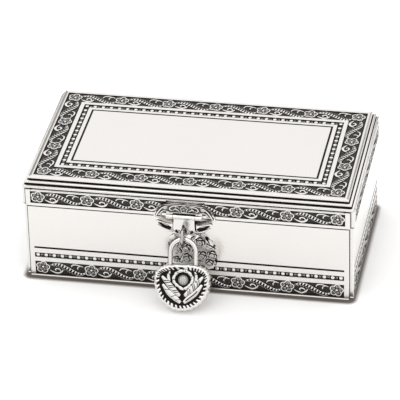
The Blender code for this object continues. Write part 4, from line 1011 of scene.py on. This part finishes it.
class JEWELRYBOX_OT_plates(Operator):
    """Finish of the pressed plates of the case, the lid's skirts and the lid's top"""

    bl_idname = "jewelrybox.plates"
    bl_label = "Plates"

    def execute(self, context):
        colours = context.scene.jewelrybox_colours
        ground = tuple(colours.ground)
        grime = tuple(colours.grime)
        case_bands = ((BAND_FOOT, BAND_FOOT + BAND_HEIGHT, ground),
                      (CHANNEL_FOOT, CHANNEL_FOOT + CHANNEL_HEIGHT, grime),
                      (LINE_FOOT - LINE_SPREAD, LINE_FOOT + LINE_HEIGHT + LINE_SPREAD, grime))
        skirt_bands = ((SKIRT_BAND_FOOT, SKIRT_BAND_FOOT + SKIRT_BAND_HEIGHT, ground),)
        for kind, half_x, half_y, foot, top, bands, name in (
                ("case", CASE_HALF_X, CASE_HALF_Y, 0.0, CASE_TOP, case_bands, "case_{}_plate"),
                ("lid", SKIRT_HALF_X, SKIRT_HALF_Y, SKIRT_FOOT, SKIRT_TOP, skirt_bands, "lid_{}_skirt")):
            for side, corner_shade_reach in CORNER_SHADE_REACHES:
                made = plate_material(f"silver_{kind}_{side}", colours, half_x, half_y, foot, top - foot, bands,
                                      side in ("front", "back"), kind == "case", corner_shade_reach * MM)
                paint(frame["nodes"][name.format(side)], made)
        paint(frame["nodes"]["lid_top_plate"], top_material(colours))
        return {"FINISHED"}


# Section of the moulding as shares of its width, inwards, and of its height, with the lift of each point
MOULDING_SHARES = (
    (1.00, 0.00, 0.0), (0.16, 0.00, 0.1), (0.10, 0.02, 0.3), (0.04, 0.09, 0.9), (0.01, 0.17, 1.0),
    (0.00, 0.24, 1.0), (0.02, 0.33, 1.0), (0.07, 0.40, 1.0), (0.15, 0.445, 0.9), (0.24, 0.455, 0.2),
    (0.33, 0.46, 0.0), (0.41, 0.475, 0.0), (0.45, 0.52, 0.0), (0.45, 0.57, 0.0), (0.41, 0.615, 0.0),
    (0.35, 0.65, 0.0), (0.305, 0.70, 0.3), (0.285, 0.76, 1.0), (0.28, 0.82, 1.0), (0.30, 0.89, 1.0),
    (0.35, 0.95, 1.0), (0.42, 0.985, 1.0), (0.50, 1.00, 0.6), (0.57, 1.00, 0.0), (0.64, 1.00, 0.0),
    (1.00, 1.00, 0.0),
)
MOULDING_WIDTH = 5.0 * MM


class JEWELRYBOX_OT_moulding(Operator):
    """Mitred moulding of two ribs under the lid's top"""

    bl_idname = "jewelrybox.moulding"
    bl_label = "Lid moulding"

    def execute(self, context):
        low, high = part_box("lid_moulding")
        solid = Solid()
        rings = []
        for in_share, up_share, lift in MOULDING_SHARES:
            inset = in_share * MOULDING_WIDTH
            z = low.z + up_share * (high.z - low.z)
            rings.append([solid.vert((sx * (high.x - inset), sy * (high.y - inset), z), lift)
                          for sx, sy in ((-1, -1), (1, -1), (1, 1), (-1, 1))])
        solid.bridge(rings + rings[:1])
        material = lift_material("silver_moulding", context.scene.jewelrybox_colours, edge=0.8)
        object_from_mesh("lid_ribs", solid.mesh("lid_moulding_fine", sharp=50), material, "lid",
                         ("lid_moulding",))
        return {"FINISHED"}


# How far the middle of the motif lies above the middle of its band
CASE_MOTIF_RISE = 0.3 * MM
SKIRT_MOTIF_RISE = 0.2 * MM


class JEWELRYBOX_OT_bands(Operator):
    """Flowers, ropes, leaves and beads in the sunk bands"""

    bl_idname = "jewelrybox.bands"
    bl_label = "Flower bands and beads"

    def execute(self, context):
        sizes = context.scene.jewelrybox_ornament
        material = lift_material("silver_relief", context.scene.jewelrybox_colours, 0.1, 0.6, 0.85)
        vine, flower, bead = (linked(name + "_ornament", mesh) for name, mesh in (
            ("vine", vine_mesh(sizes)), ("flower", flower_mesh(sizes)), ("bead", bead_mesh(sizes))))
        case_middle = BAND_FOOT + BAND_HEIGHT / 2 + CASE_MOTIF_RISE
        skirt_middle = SKIRT_FOOT + SKIRT_BAND_FOOT + SKIRT_BAND_HEIGHT / 2 + SKIRT_MOTIF_RISE
        case = band_rows(sizes, vine, flower, material, CASE_HALF_X, CASE_HALF_Y, case_middle, 1.0)
        skirt = band_rows(sizes, vine, flower, material, SKIRT_HALF_X, SKIRT_HALF_Y, skirt_middle,
                          SKIRT_BAND_HEIGHT / BAND_HEIGHT)
        for name, rows, body in (("case_vines", case, "case"), ("case_beads", bead_rows(sizes, bead, material), "case"),
                                 ("skirt_vines", skirt, "lid"),
                                 ("top_vines", top_rows(sizes, vine, flower, material), "lid"),
                                 ("top_beads", top_bead_rows(sizes, bead, material), "lid")):
            object_from_mesh(name, merged(name, rows), material, body)
        for used in (vine, flower, bead):
            bpy.data.objects.remove(used)
        return {"FINISHED"}


def joint_place(name):
    for joint in frame["joints"]:
        if joint["name"] == name:
            return joint
    raise RuntimeError(f"the packed model has no joint {name}")


def lock_matrix():
    """From the padlock's own plane, x across and y up from its pivot, to the row frame."""
    across = Vector(joint_place("latch_slide")["axis"]).normalized()
    through = Vector(joint_place("shackle_open")["axis"]).normalized()
    up = across.cross(through).normalized()
    matrix = Matrix((across, up, -through)).transposed().to_4x4()
    matrix.translation = Vector(joint_place("padlock_swing")["pos_m"])
    return matrix


# Outline of the padlock: its own middle lies below the pivot, and its shoulders are squarer than its foot
LOCK_HALF_WIDTH = 16.3 * MM
LOCK_UPPER_HEIGHT = 9.5 * MM
LOCK_LOWER_HEIGHT = 17.5 * MM
LOCK_DROP = 23.1 * MM
LOCK_SQUARENESS = 2.85
LOCK_HALF_THICK = 4.0
LOCK_FIELD = 3.1
# Its toothed rim: scalloped lobes, parted by slanted slits that wander and that vary in width
LOBES = 28
LOBE_POINTS = 15
LOBE_INNER = 3.3 * MM
LOBE_SCALLOP = 0.45 * MM
SLITS = 38
SLIT_SLANT = 30.0
SLIT_DEPTH = 0.55 * MM
SLIT_WANDER = 0.9
SLIT_WIDTH = -0.25
SLIT_WIDTH_SWAY = 0.35
SLIT_EDGE = 1.6
# Sections of the shells: inset and height in millimetres, then shares of scallop, lift and slit
FRONT_SECTIONS = (
    (2.4, 0.15, 0.0, 0.2, 0.0), (0.0, 0.15, 1.0, 0.6, 0.0), (0.0, 0.9, 1.0, 1.0, 0.0), (0.05, 1.7, 1.0, 1.0, 0.0),
    (0.25, 2.5, 1.0, 1.0, 0.0), (0.6, 3.1, 1.0, 1.0, 0.0), (1.0, 3.45, 1.0, 1.0, 0.0), (1.5, 3.7, 1.0, 1.0, 0.2),
    (1.9, 3.8, 0.5, 1.0, 0.9), (2.6, 3.65, 0.5, 1.0, 1.0), (3.3, 3.3, 0.0, 0.95, 1.0),
    (3.5, LOCK_FIELD, 0.0, 0.0, 0.0), (3.7, LOCK_FIELD, 0.0, 0.0, 0.0), (6.0, LOCK_FIELD, 0.0, 0.0, 0.0),
)
BACK_SECTIONS = (
    (2.4, 0.15, 0.0, 0.2, 0.0), (0.0, 0.15, 1.0, 0.6, 0.0), (0.0, 1.2, 1.0, 1.0, 0.0), (0.1, 2.2, 1.0, 1.0, 0.0),
    (0.5, 3.1, 1.0, 1.0, 0.0), (1.2, 3.75, 0.5, 1.0, 0.0), (2.2, 3.97, 0.0, 1.0, 0.0),
    (3.4, LOCK_HALF_THICK, 0.0, 1.0, 0.0), (8.0, LOCK_HALF_THICK, 0.0, 1.0, 0.0),
)


def lock_point(angle, inset):
    """A point of the padlock's shouldered outline, drawn in by an inset."""
    c = math.cos(angle)
    s = math.sin(angle)
    power = 2 / (LOCK_SQUARENESS if s > 0 else 2.0)
    height = LOCK_UPPER_HEIGHT if s > 0 else LOCK_LOWER_HEIGHT
    return Vector((math.copysign(abs(c) ** power, c) * (LOCK_HALF_WIDTH - inset),
                   math.copysign(abs(s) ** power, s) * (height - inset)))


def lock_shell(name, sections, matrix):
    """A closed shell through the given sections. Black slits part the lobes of its rim."""
    solid = Solid()
    rings = []
    points = LOBES * LOBE_POINTS
    for inset, up, scallop, lift, slit in sections:
        ring = []
        for index in range(points):
            angle = 2 * math.pi * index / points
            turned = SLITS * (angle - SLIT_SLANT * (LOBE_INNER - inset * MM)) + SLIT_WANDER * math.sin(5 * angle)
            wide = SLIT_WIDTH_SWAY * math.sin(9 * angle + 1) + SLIT_WIDTH
            sunk = slit * (1 - min(max(0.5 + SLIT_EDGE * (math.cos(turned) + wide), 0.0), 1.0))
            edge = 1 - scallop * LOBE_SCALLOP / LOCK_HALF_WIDTH * (1 + math.cos(LOBES * angle)) / 2
            place = lock_point(angle, inset * MM) * edge
            ring.append(solid.vert((place.x, place.y - LOCK_DROP, up * MM - SLIT_DEPTH * sunk), lift * (1 - sunk)))
        rings.append(ring)
    solid.bridge(rings)
    for ring, section in ((rings[0], sections[0]), (rings[-1], sections[-1])):
        solid.fan(ring, solid.vert((0, -LOCK_DROP, section[1] * MM), section[3]))
    return solid.mesh(name, matrix, 60)


class JEWELRYBOX_OT_padlock(Operator):
    """Padlock case with its toothed rim and rose, and its shackle"""

    bl_idname = "jewelrybox.padlock"
    bl_label = "Padlock"

    def execute(self, context):
        colours = context.scene.jewelrybox_colours
        matrix = lock_matrix()
        material = lift_material("silver_padlock", colours, 0.12, 0.6)
        for side, sections, turn, bores in (("front", FRONT_SECTIONS, 0.0, ()),
                                            ("back", BACK_SECTIONS, math.pi, BACK_BORES)):
            blank = lock_shell(f"padlock_{side}_blank", sections, matrix @ Matrix.Rotation(turn, 4, "Y"))
            shell = bored(f"padlock_{side}", blank, matrix, bores)
            object_from_mesh(f"padlock_{side}", shell, material, "lock_body",
                             (f"lock_{side}_shell",))
        object_from_mesh("padlock_rose", rose_mesh(matrix), material, "lock_body")
        bright = metal_material("silver_bright", tuple(colours.silver), 0.16, edge=0.9)
        object_from_mesh("padlock_shackle", shackle_mesh(matrix), bright, "shackle", ("shackle",))
        return {"FINISHED"}


# Bores in the padlock's back, in millimetres from the pivot: x, y, radius and height of the floor
BACK_BORES = ((-3.1, -26.6, 2.7, 1.8), (0.0, -39.4, 0.65, 2.1), (15.1, -23.1, 0.65, 2.1), (-15.1, -23.1, 0.65, 2.1))
BORE_TOP = (LOCK_HALF_THICK + 1.0) * MM
# The shackle's heel in the padlock, how far its leg swings, and the half width of its slot
HEEL_X = -7.3 * MM
HEEL_Y = -19.2 * MM
HEEL_SWING = math.radians(50)
HEEL_STEPS = 6
SLOT_HALF = 1.7 * MM
TOE_LEFT, TOE_RIGHT, TOE_FLOOR, TOE_TOP = (edge * MM for edge in (4.3, 9.0, -21.5, -12.6))
ON_SURFACE = 0.01 * MM


def add_prism(solid, outline):
    """A closed upright solid, as thick as a slot, over an outline in the padlock's plane."""
    low, high = ([solid.vert((x, y, z)) for x, y in outline] for z in (-SLOT_HALF, SLOT_HALF))
    solid.bridge((low, high))
    solid.cap(low[::-1], high)


def slots_and_bores(matrix, bores):
    """The cutter of a shell: the toe's slot, the fan that lets the heel's leg swing, and round bores."""
    solid = Solid()
    add_prism(solid, ((TOE_LEFT, TOE_FLOOR), (TOE_RIGHT, TOE_FLOOR), (TOE_RIGHT, TOE_TOP), (TOE_LEFT, TOE_TOP)))
    fan = [(HEEL_X + SLOT_HALF, HEEL_Y - SLOT_HALF), (HEEL_X + SLOT_HALF, 0.0)]
    turns = [(HEEL_SWING * step / HEEL_STEPS, -HEEL_Y) for step in range(HEEL_STEPS + 1)]
    for angle, reach in turns + [(HEEL_SWING, 0.0)]:
        fan.append((HEEL_X - SLOT_HALF * math.cos(angle) - reach * math.sin(angle),
                    HEEL_Y - SLOT_HALF * math.sin(angle) + reach * math.cos(angle)))
    add_prism(solid, fan)
    for x, y, radius, floor in bores:
        tall = BORE_TOP - floor * MM
        place = Matrix.Translation((x * MM, y * MM, tall / 2 - BORE_TOP))
        bmesh.ops.create_cone(solid.shape, cap_ends=True, segments=32, radius1=radius * MM, radius2=radius * MM,
                              depth=tall, matrix=place)
    return solid.mesh("bores", matrix)


def bored(name, blank, matrix, bores):
    """The shell with its slots and bores cut. Cut walls are black, and their lips keep the shell's own lift."""
    places = [vert.co.copy() for vert in blank.vertices]
    tree = KDTree(len(places))
    for index, place in enumerate(places):
        tree.insert(place, index)
    tree.balance()
    skin = BVHTree.FromPolygons(places, [face.vertices for face in blank.polygons])
    lifts = [item.value for item in blank.attributes["lift"].data]
    holder = linked(name + "_blank", blank)
    drill = linked("bores", slots_and_bores(matrix, bores))
    step = holder.modifiers.new("bores", "BOOLEAN")
    step.operation = "DIFFERENCE"
    step.solver = "EXACT"
    step.object = drill
    made = baked(holder)
    made.name = name
    bpy.data.objects.remove(drill)
    for vert, lift in zip(made.vertices, made.attributes["lift"].data):
        on_skin = skin.find_nearest(vert.co)[3] < ON_SURFACE
        lift.value = lifts[tree.find(vert.co)[1]] if on_skin else 0.0
    return smoothed(made, 60)


# The rose's outer petals, in millimetres from the pivot, and its leaves from root to tip
ROSE_RING = ((-5.2, -22.8), (-4.4, -19.9), (-2.2, -17.7), (0.8, -16.9), (3.9, -17.7), (6.0, -19.8), (6.8, -22.4),
             (5.6, -25.0), (3.6, -26.9), (1.1, -28.4), (-1.8, -26.7), (-4.0, -24.9), (-5.2, -22.8))
ROSE_CENTRE = Vector((0.8, -22.8)) * MM
ROSE_HEIGHT = 0.7 * MM
LEAF_SHIFT = 0.4
UPPER_LEAF = ((1.3, -31.6), (4.8, -28.3), (8.0, -24.8), (11.7, -20.7))
LOWER_LEAF = ((0.9, -35.4), (3.8, -33.0), (7.6, -29.9), (11.2, -25.2))
TIP_LEAF = ((6.9, -24.6), (7.7, -22.4), (7.9, -20.2), (7.0, -18.0))


def rose_mesh(matrix):
    """A dotted boss in two rings of petals, over two pairs of leaves that meet at the foot."""
    relief = Relief()
    height = ROSE_HEIGHT
    field = LOCK_FIELD * MM
    centre = ROSE_CENTRE
    relief.dome(centre, 2.85 * MM, 0.75 * MM, field, sides=24, rings=4, low=0.25, high=0.4)
    for spot in [Vector((0.0, 0.0))] + [aim(2 * math.pi * k / 7) for k in range(7)]:
        relief.dome(centre + spot * 1.55 * MM, 0.34 * MM, 0.35 * MM, field + 0.5 * MM, sides=8, rings=1)
    ring = [Vector(point) for point in in_mm(ROSE_RING)]
    for near, far in zip(ring, ring[1:]):
        middle = (near + far) / 2
        bulge = middle + (middle - centre).normalized() * 0.3 * MM
        line = [centre + (point - centre) * 0.9 for point in (near, bulge, far)]
        relief.stroke(line, [0.75 * MM, 1.1 * MM, 0.75 * MM], height, 2, field, 1.0, 0.15 * MM)
    for number in range(7):
        away = aim(2 * math.pi * (number + 0.4) / 7)
        lean = Vector((-away.y, away.x)) * 0.6 * MM
        relief.vein([centre + away * 4.9 * MM, centre + away * 6.0 * MM + lean], [0.16 * MM, 0.1 * MM], field + height)
    for side in (-1, 1):
        upper, lower, tip = (mirrored(line, side, LEAF_SHIFT) for line in (UPPER_LEAF, LOWER_LEAF, TIP_LEAF))
        veins, midrib = (0, 0.28) if side > 0 else (3, 0.0)
        relief.leaf(upper, 2.05, height * 0.85, field, 6, 0.22)
        relief.leaf(lower, 2.05, height * 0.95, field, veins, 0.14, midrib)
        relief.leaf(tip, 1.1, height * 0.8, field, 2, 0.16)
    return relief.mesh("padlock_rose", matrix)


# The shackle's bow and legs, from the pivot down, and the latch's notch in its toe
BOW_RADIUS = 7.3 * MM
BOW_TURNS = 32
WIRE = 1.4 * MM
WIRE_SIDES = 20
LEG_MIDDLE = -14.0 * MM
LEG_END = -21.2 * MM
NOTCH_FOOT = -19.7 * MM
NOTCH_TOP = -17.9 * MM
NOTCH_DEPTH = 1.2 * MM


def shackle_mesh(matrix):
    """A bent round wire with its heel and toe legs, and the latch's notch in the toe."""
    points = [(-BOW_RADIUS, LEG_END), (-BOW_RADIUS, LEG_MIDDLE)]
    for step in range(BOW_TURNS + 1):
        angle = math.pi * (1 - step / BOW_TURNS)
        points.append((BOW_RADIUS * math.cos(angle), BOW_RADIUS * (math.sin(angle) - 1)))
    notch = len(points) + 2
    points += [(BOW_RADIUS, y) for y in (LEG_MIDDLE, NOTCH_TOP, NOTCH_TOP, NOTCH_FOOT, NOTCH_FOOT, LEG_END)]
    line = [Vector((*point, 0.0)) for point in points]
    solid = Solid()
    rings = []
    for index, point in enumerate(line):
        across = across_line(line, index)
        ring = []
        for side in range(WIRE_SIDES):
            out, up = aim(2 * math.pi * side / WIRE_SIDES) * WIRE
            place = point + across * out + Vector((0, 0, up))
            if notch <= index < notch + 2:
                place.x = max(place.x, BOW_RADIUS - WIRE + NOTCH_DEPTH)
            ring.append(solid.vert(place))
        rings.append(ring)
    solid.bridge(rings)
    solid.cap(rings[0], rings[-1])
    return solid.mesh("padlock_shackle", matrix, 50)


# Front faces of the hasp's bar, of its wings and of the staple's plate, and the middle and the foot of the bar
BAR_FACE = -55.3 * MM
WING_FACE = -56.1 * MM
SPRAY_FACE = -54.0 * MM
HASP_X = -1.0 * MM
BAR_FOOT = 51.0 * MM


class JEWELRYBOX_OT_hasp(Operator):
    """Ornament of the hasp: floral bar, horns, leaf wings and the staple's spray"""

    bl_idname = "jewelrybox.hasp"
    bl_label = "Hasp and staple"

    def execute(self, context):
        colours = context.scene.jewelrybox_colours
        relief = lift_material("silver_cast", colours, 0.12, 0.6)
        for node, material in (
                ("hasp_lid_plate", face_material("silver_hasp_plate", colours, BAR_FACE)),
                ("hasp_flap", metal_material("silver_cast_plain", tuple(colours.silver), 0.22, 0.16, 0.12)),
                ("staple_plate", spray_material(colours)),
                ("staple_eye", metal_material("silver_eye", (0.55, 0.54, 0.52), 0.2, edge=0.9))):
            paint(frame["nodes"][node], material)
        object_from_mesh("hasp_bar_relief", hasp_bar_mesh(), relief, "lid")
        object_from_mesh("hasp_wing_relief", wing_mesh(), relief, "flap")
        object_from_mesh("staple_spray", spray_mesh(), relief, "case")
        return {"FINISHED"}


def face_matrix(face_y):
    """From a flat plane, x across and y up, to an upright face at this y. x is taken from the hasp's middle."""
    return Matrix.Translation((HASP_X, face_y, 0)) @ Matrix.Rotation(math.pi / 2, 4, "X")


# Scrolls on the right of the bar, in millimetres: line and half widths
BAR_SCROLLS = (
    (((2.6, 55.0), (4.8, 55.5), (7.2, 54.9), (8.2, 53.6), (7.4, 52.6), (6.4, 53.0)),
     (0.2, 0.42, 0.45, 0.45, 0.35, 0.2)),
    (((2.4, 52.3), (4.0, 53.4), (5.4, 53.6), (5.8, 52.7)), (0.2, 0.4, 0.4, 0.2)),
    (((9.2, 55.2), (11.6, 54.5), (13.8, 52.4), (15.6, 49.6), (16.2, 47.8)), (0.25, 0.42, 0.5, 0.5, 0.3)),
    (((9.8, 52.0), (11.8, 51.9), (13.2, 50.8), (13.8, 49.4), (13.0, 48.9)), (0.2, 0.38, 0.42, 0.4, 0.25)),
)
BAR_HEIGHT = 0.55 * MM


def hasp_bar_mesh():
    """Scrolls and buds along the bar, and the rims of its two horns."""
    relief = Relief()
    relief.flower((0.0, 53.7 * MM), 2.2 * MM, BAR_HEIGHT, (90, 18, -54, -126, 162))
    for side in (-1, 1):
        for line, halves in BAR_SCROLLS:
            relief.trace(mirrored(line, side), halves, BAR_HEIGHT)
        relief.dome((side * 4.6 * MM, 54.4 * MM), 0.45 * MM, BAR_HEIGHT, sides=8)
    relief.stroke(in_mm(((-11.0, 56.0), (-6.0, 56.3), (0.0, 56.35), (6.0, 56.3), (11.0, 56.0))), 0.28 * MM, BAR_HEIGHT)
    relief.stroke(in_mm(((-8.6, 51.3), (0.0, 51.3), (8.6, 51.3))), 0.22 * MM, BAR_HEIGHT * 0.7)
    return relief.mesh("hasp_bar_relief", face_matrix(BAR_FACE))


# Strokes on the right wing: line and half widths in millimetres, lift, and height in millimetres
WING_STROKES = (
    (((14.8, 44.4), (12.2, 43.2), (9.4, 41.8), (7.2, 41.2)), (0.1, 1.0, 1.25, 0.4), 0.0, 0.06),
    (((12.6, 44.3), (10.6, 43.4), (8.8, 42.9)), (0.1, 0.28, 0.1), 1.0, 0.27),
    (((15.2, 43.2), (12.4, 41.3), (9.6, 40.0), (7.0, 39.6), (6.2, 40.5)), (0.2, 0.5, 0.6, 0.5, 0.2), 1.0, 0.45),
    (((5.2, 39.7), (4.2, 39.3), (3.4, 39.1)), (0.9, 1.0, 0.9), 0.0, 0.06),
    (((5.8, 39.6), (4.6, 38.2), (3.0, 38.3), (2.8, 39.6), (4.0, 40.0)), (0.3, 0.42, 0.4, 0.35, 0.18), 1.0, 0.45),
)
# A painted shadow line down the edge of the tongue, in millimetres; it is drawn bold on the right
WING_EDGE_SHADOW = ((6.5, 47.0), (6.4, 43.6), (6.7, 38.6))


def wing_mesh():
    """Dark leaf-shaped hollows in the wings, with bright rims and a scroll at each side of the notch."""
    relief = Relief()
    for side in (-1, 1):
        for line, halves, lift, height in WING_STROKES:
            relief.trace(mirrored(line, side), halves, height * MM, 4, 0.0, lift, 0.12 * MM)
        # Painted shadow along the tongue's edge: wide on the right, thin on the left
        relief.vein(in_mm(mirrored(WING_EDGE_SHADOW, side)), (0.42 if side > 0 else 0.1) * MM, 0.0, 3)
    return relief.mesh("hasp_wing_relief", face_matrix(WING_FACE))


# The staple's roses as x, y and radius, and its leaves as root, tip and half width, all in millimetres
SPRAY_ROSES = ((8.28, 32.16, 2.81), (15.09, 24.12, 2.68), (9.38, 23.31, 2.68), (13.43, 18.76, 2.28),
               (0.37, 27.6, 2.81), (0.74, 20.9, 2.81), (-5.34, 30.55, 2.55), (-5.34, 19.56, 1.88))
SPRAY_LEAVES = (
    ((12.0, 30.4), (16.6, 28.4), 1.0), ((11.4, 34.2), (13.6, 31.2), 0.8), ((3.4, 33.4), (6.0, 35.8), 0.8),
    ((4.4, 24.6), (6.6, 28.6), 1.1), ((5.0, 18.4), (9.4, 19.0), 1.1), ((-2.6, 24.0), (-4.0, 27.0), 0.9),
    ((-8.0, 26.4), (-10.2, 28.8), 0.8), ((-3.0, 17.4), (-1.0, 23.6), 0.8), ((16.4, 20.6), (17.0, 17.4), 0.7),
)
# Rings of petals: how many, the ring's and a petal's share of the rose's radius, foot and height
PETAL_RINGS = ((4, 0.79, 0.19, 0.25, 0.9), (2, 0.36, 0.15, 1.05, 0.75))


def spray_mesh():
    """Curled petals round each domed rose of the staple plate, with leaves between."""
    relief = Relief()
    for number, (x, y, radius) in enumerate(SPRAY_ROSES):
        for petals, ring_share, half, base, high in PETAL_RINGS:
            for petal in range(petals):
                turn = 2 * math.pi * (petal / petals) + number * 1.3 + ring_share * 4
                line = [Vector((x, y)) + aim(turn + step * 0.4 * math.pi / petals)
                        * radius * ring_share * (1 - 0.06 * step) for step in range(-2, 3)]
                relief.trace(line, [share * half * radius for share in (0.3, 0.9, 1.0, 0.9, 0.3)], high * MM, 2,
                             base * MM, 1.0, 0.32 * MM)
    for root, tip, half in SPRAY_LEAVES:
        relief.leaf((root, tip), half, 0.9 * MM, 0.0, 2, 0.16)
    return relief.mesh("staple_spray", face_matrix(SPRAY_FACE))


class JEWELRYBOX_OT_fittings(Operator):
    """Finish of the hinges, pins, rivets, screws, works and carcass"""

    bl_idname = "jewelrybox.fittings"
    bl_label = "Fittings and carcass"

    def execute(self, context):
        by_slot = {
            "hinge_steel": metal_material("nickelled_steel", (0.62, 0.61, 0.58), 0.26),
            "lock_brass": metal_material("turned_brass", (0.72, 0.55, 0.27), 0.28),
            "oxidised_silver": metal_material("silver_rivet", (0.6, 0.59, 0.57), 0.3, 0.3),
            "carcass_wood": wood_material(context.scene.jewelrybox_colours),
        }
        for part in frame["record"]["subparts"]:
            found = by_slot.get(part["material_slot"])
            if found is not None and part["node"] not in ("hasp_lid_plate", "staple_plate"):
                paint(frame["nodes"][part["node"]], found)
        for node in frame["nodes"].values():
            smoothed(node.data, NODE_SHARP)
        return {"FINISHED"}


class JEWELRYBOX_OT_linings(Operator):
    """Velvet linings, padded cushions and the felt under the case"""

    bl_idname = "jewelrybox.linings"
    bl_label = "Velvet and felt"

    def execute(self, context):
        velvet = pile_material("blue_velvet", tuple(context.scene.jewelrybox_colours.velvet), 0.4, 2500.0)
        felt = pile_material("black_felt", (0.018, 0.018, 0.02), 0.3, 1800.0)
        for name, node, body, up in (("case_velvet", "case_lining", "case", 1),
                                     ("lid_velvet", "lid_lining", "lid", -1)):
            object_from_mesh(name, liner_mesh(name, node, up), velvet, body, (node,))
        for name, node, body, up in (("case_cushion", "case_floor_pad", "case", 1),
                                     ("lid_cushion", "lid_pad", "lid", -1)):
            made = object_from_mesh(name, cushion_mesh(name, node, up), velvet, body, (node,))
        object_from_mesh("felt_base", felt_mesh(), felt, "case", ("base_pad",))
        return {"FINISHED"}


FELT_EDGE = 0.2 * MM


def felt_mesh():
    low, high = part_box("base_pad")
    solid = Solid()
    place = Matrix.Translation((low + high) / 2) @ Matrix.Diagonal((*(high - low), 1.0))
    bmesh.ops.create_cube(solid.shape, size=1.0, matrix=place)
    bmesh.ops.bevel(solid.shape, geom=solid.shape.edges[:], offset=FELT_EDGE, segments=3, affect="EDGES", profile=0.5)
    return solid.mesh("felt_base", sharp=50)


LINER_WALL = 1.2 * MM
LINER_SOFT = 0.3 * MM
LINER_CORNER = 2.0 * MM


def liner_mesh(name, node, up):
    """A velvet tray with soft edges: its walls, its rim and its floor."""
    low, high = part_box(node)
    wall = LINER_WALL
    soft = LINER_SOFT
    deep, rim = (low.z, high.z) if up > 0 else (high.z, low.z)
    solid = Solid()
    rings = []
    for inset, z in ((soft, deep), (0.0, deep + up * soft), (0.0, rim - up * soft), (soft, rim), (wall - soft, rim),
                     (wall, rim - up * soft), (wall, deep + up * (wall + soft)), (wall + soft, deep + up * wall)):
        ring = []
        radius = max(LINER_CORNER - inset, LINER_SOFT)
        for corner, (sx, sy) in enumerate(((1, 1), (-1, 1), (-1, -1), (1, -1))):
            centre = Vector((sx * (high.x - inset - radius), sy * (high.y - inset - radius)))
            ring += [solid.vert((*(centre + aim(math.radians(90 * corner + 22.5 * step)) * radius), z))
                     for step in range(5)]
        rings.append(ring)
    solid.bridge(rings)
    solid.cap(rings[0], rings[-1])
    return solid.mesh(name, sharp=60)


# The cushions: play at their edges, thickness before they swell, and how far a point may move
CUSHION_PLAY = 1.6 * MM
CUSHION_BLANK = 2.4 * MM
CUSHION_SWELL = 2.4 * MM
CUSHION_CLEARANCE = 0.1 * MM
CLOTH_FRAMES = 20


def cushion_mesh(name, node, up):
    """A velvet cushion, swelled by a short cloth simulation under pressure."""
    low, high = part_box(node)
    solid = Solid()
    bmesh.ops.create_grid(solid.shape, x_segments=44, y_segments=22, size=1.0)
    for vert in solid.shape.verts:
        vert.co.x *= (high.x - low.x) / 2 - CUSHION_PLAY
        vert.co.y *= (high.y - low.y) / 2 - CUSHION_PLAY
    extruded = bmesh.ops.extrude_face_region(solid.shape, geom=solid.shape.faces[:])
    for item in extruded["geom"]:
        if isinstance(item, bmesh.types.BMVert):
            item.co.z += CUSHION_BLANK
    mesh = solid.mesh(name)
    start = values(mesh.vertices, "co", 3).reshape(-1, 3)
    move = simulate(mesh) - start
    reach = np.linalg.norm(move, axis=1, keepdims=True)
    place = start + move * np.minimum(1.0, CUSHION_SWELL / np.maximum(reach, 1e-9))
    place = np.clip(place, (low.x, low.y, 0.0), (high.x, high.y, high.z - low.z - CUSHION_CLEARANCE))
    place[:, 2] = (low.z if up > 0 else high.z) + up * place[:, 2]
    mesh.vertices.foreach_set("co", place.astype(np.float32).ravel())
    if up < 0:
        mesh.flip_normals()
    mesh.update()
    holder = linked(name + "_blank", mesh)
    step = holder.modifiers.new("soften", "SUBSURF")
    step.levels = 1
    step.render_levels = 1
    return smoothed(baked(holder))


def simulate(mesh):
    """Where the mesh's points go after some frames of cloth under pressure, with no gravity."""
    holder = linked("cushion_blank", mesh.copy())
    cloth = holder.modifiers.new("cloth", "CLOTH")
    cloth.settings.use_pressure = True
    cloth.settings.uniform_pressure_force = 4.0
    cloth.settings.effector_weights.gravity = 0.0
    cloth.settings.mass = 0.15
    cloth.point_cache.frame_start = 1
    cloth.point_cache.frame_end = CLOTH_FRAMES
    for number in range(1, CLOTH_FRAMES + 1):
        bpy.context.scene.frame_set(number)
    swollen = baked(holder)
    bpy.context.scene.frame_set(1)
    return values(swollen.vertices, "co", 3).reshape(-1, 3)


OPERATORS = (
    JEWELRYBOX_OT_studio, JEWELRYBOX_OT_plates, JEWELRYBOX_OT_moulding, JEWELRYBOX_OT_bands,
    JEWELRYBOX_OT_padlock, JEWELRYBOX_OT_hasp, JEWELRYBOX_OT_fittings, JEWELRYBOX_OT_linings,
)


class JEWELRYBOX_PT_panel(Panel):
    """Lists the sizes, the colours and the pieces"""

    bl_idname = "JEWELRYBOX_PT_panel"
    bl_label = "Jewelry box"
    bl_space_type = "VIEW_3D"
    bl_region_type = "UI"
    bl_category = "Jewelry box"

    def draw(self, context):
        for group in (context.scene.jewelrybox_ornament, context.scene.jewelrybox_colours):
            column = self.layout.column()
            for name in group.__annotations__:
                column.prop(group, name)
        for operator in OPERATORS:
            self.layout.operator(operator.bl_idname)


CLASSES = (OrnamentSizes, FinishColours) + OPERATORS + (JEWELRYBOX_PT_panel,)


def register():
    for made in CLASSES:
        bpy.utils.register_class(made)
    bpy.types.Scene.jewelrybox_ornament = PointerProperty(type=OrnamentSizes)
    bpy.types.Scene.jewelrybox_colours = PointerProperty(type=FinishColours)


def unregister():
    del bpy.types.Scene.jewelrybox_ornament
    del bpy.types.Scene.jewelrybox_colours
    for made in reversed(CLASSES):
        bpy.utils.unregister_class(made)


def main():
    register()
    bpy.ops.jewelrybox.studio()
    bpy.ops.jewelrybox.plates()
    bpy.ops.jewelrybox.moulding()
    bpy.ops.jewelrybox.bands()
    bpy.ops.jewelrybox.padlock()
    bpy.ops.jewelrybox.hasp()
    bpy.ops.jewelrybox.fittings()
    bpy.ops.jewelrybox.linings()


if __name__ == "__main__":
    main()
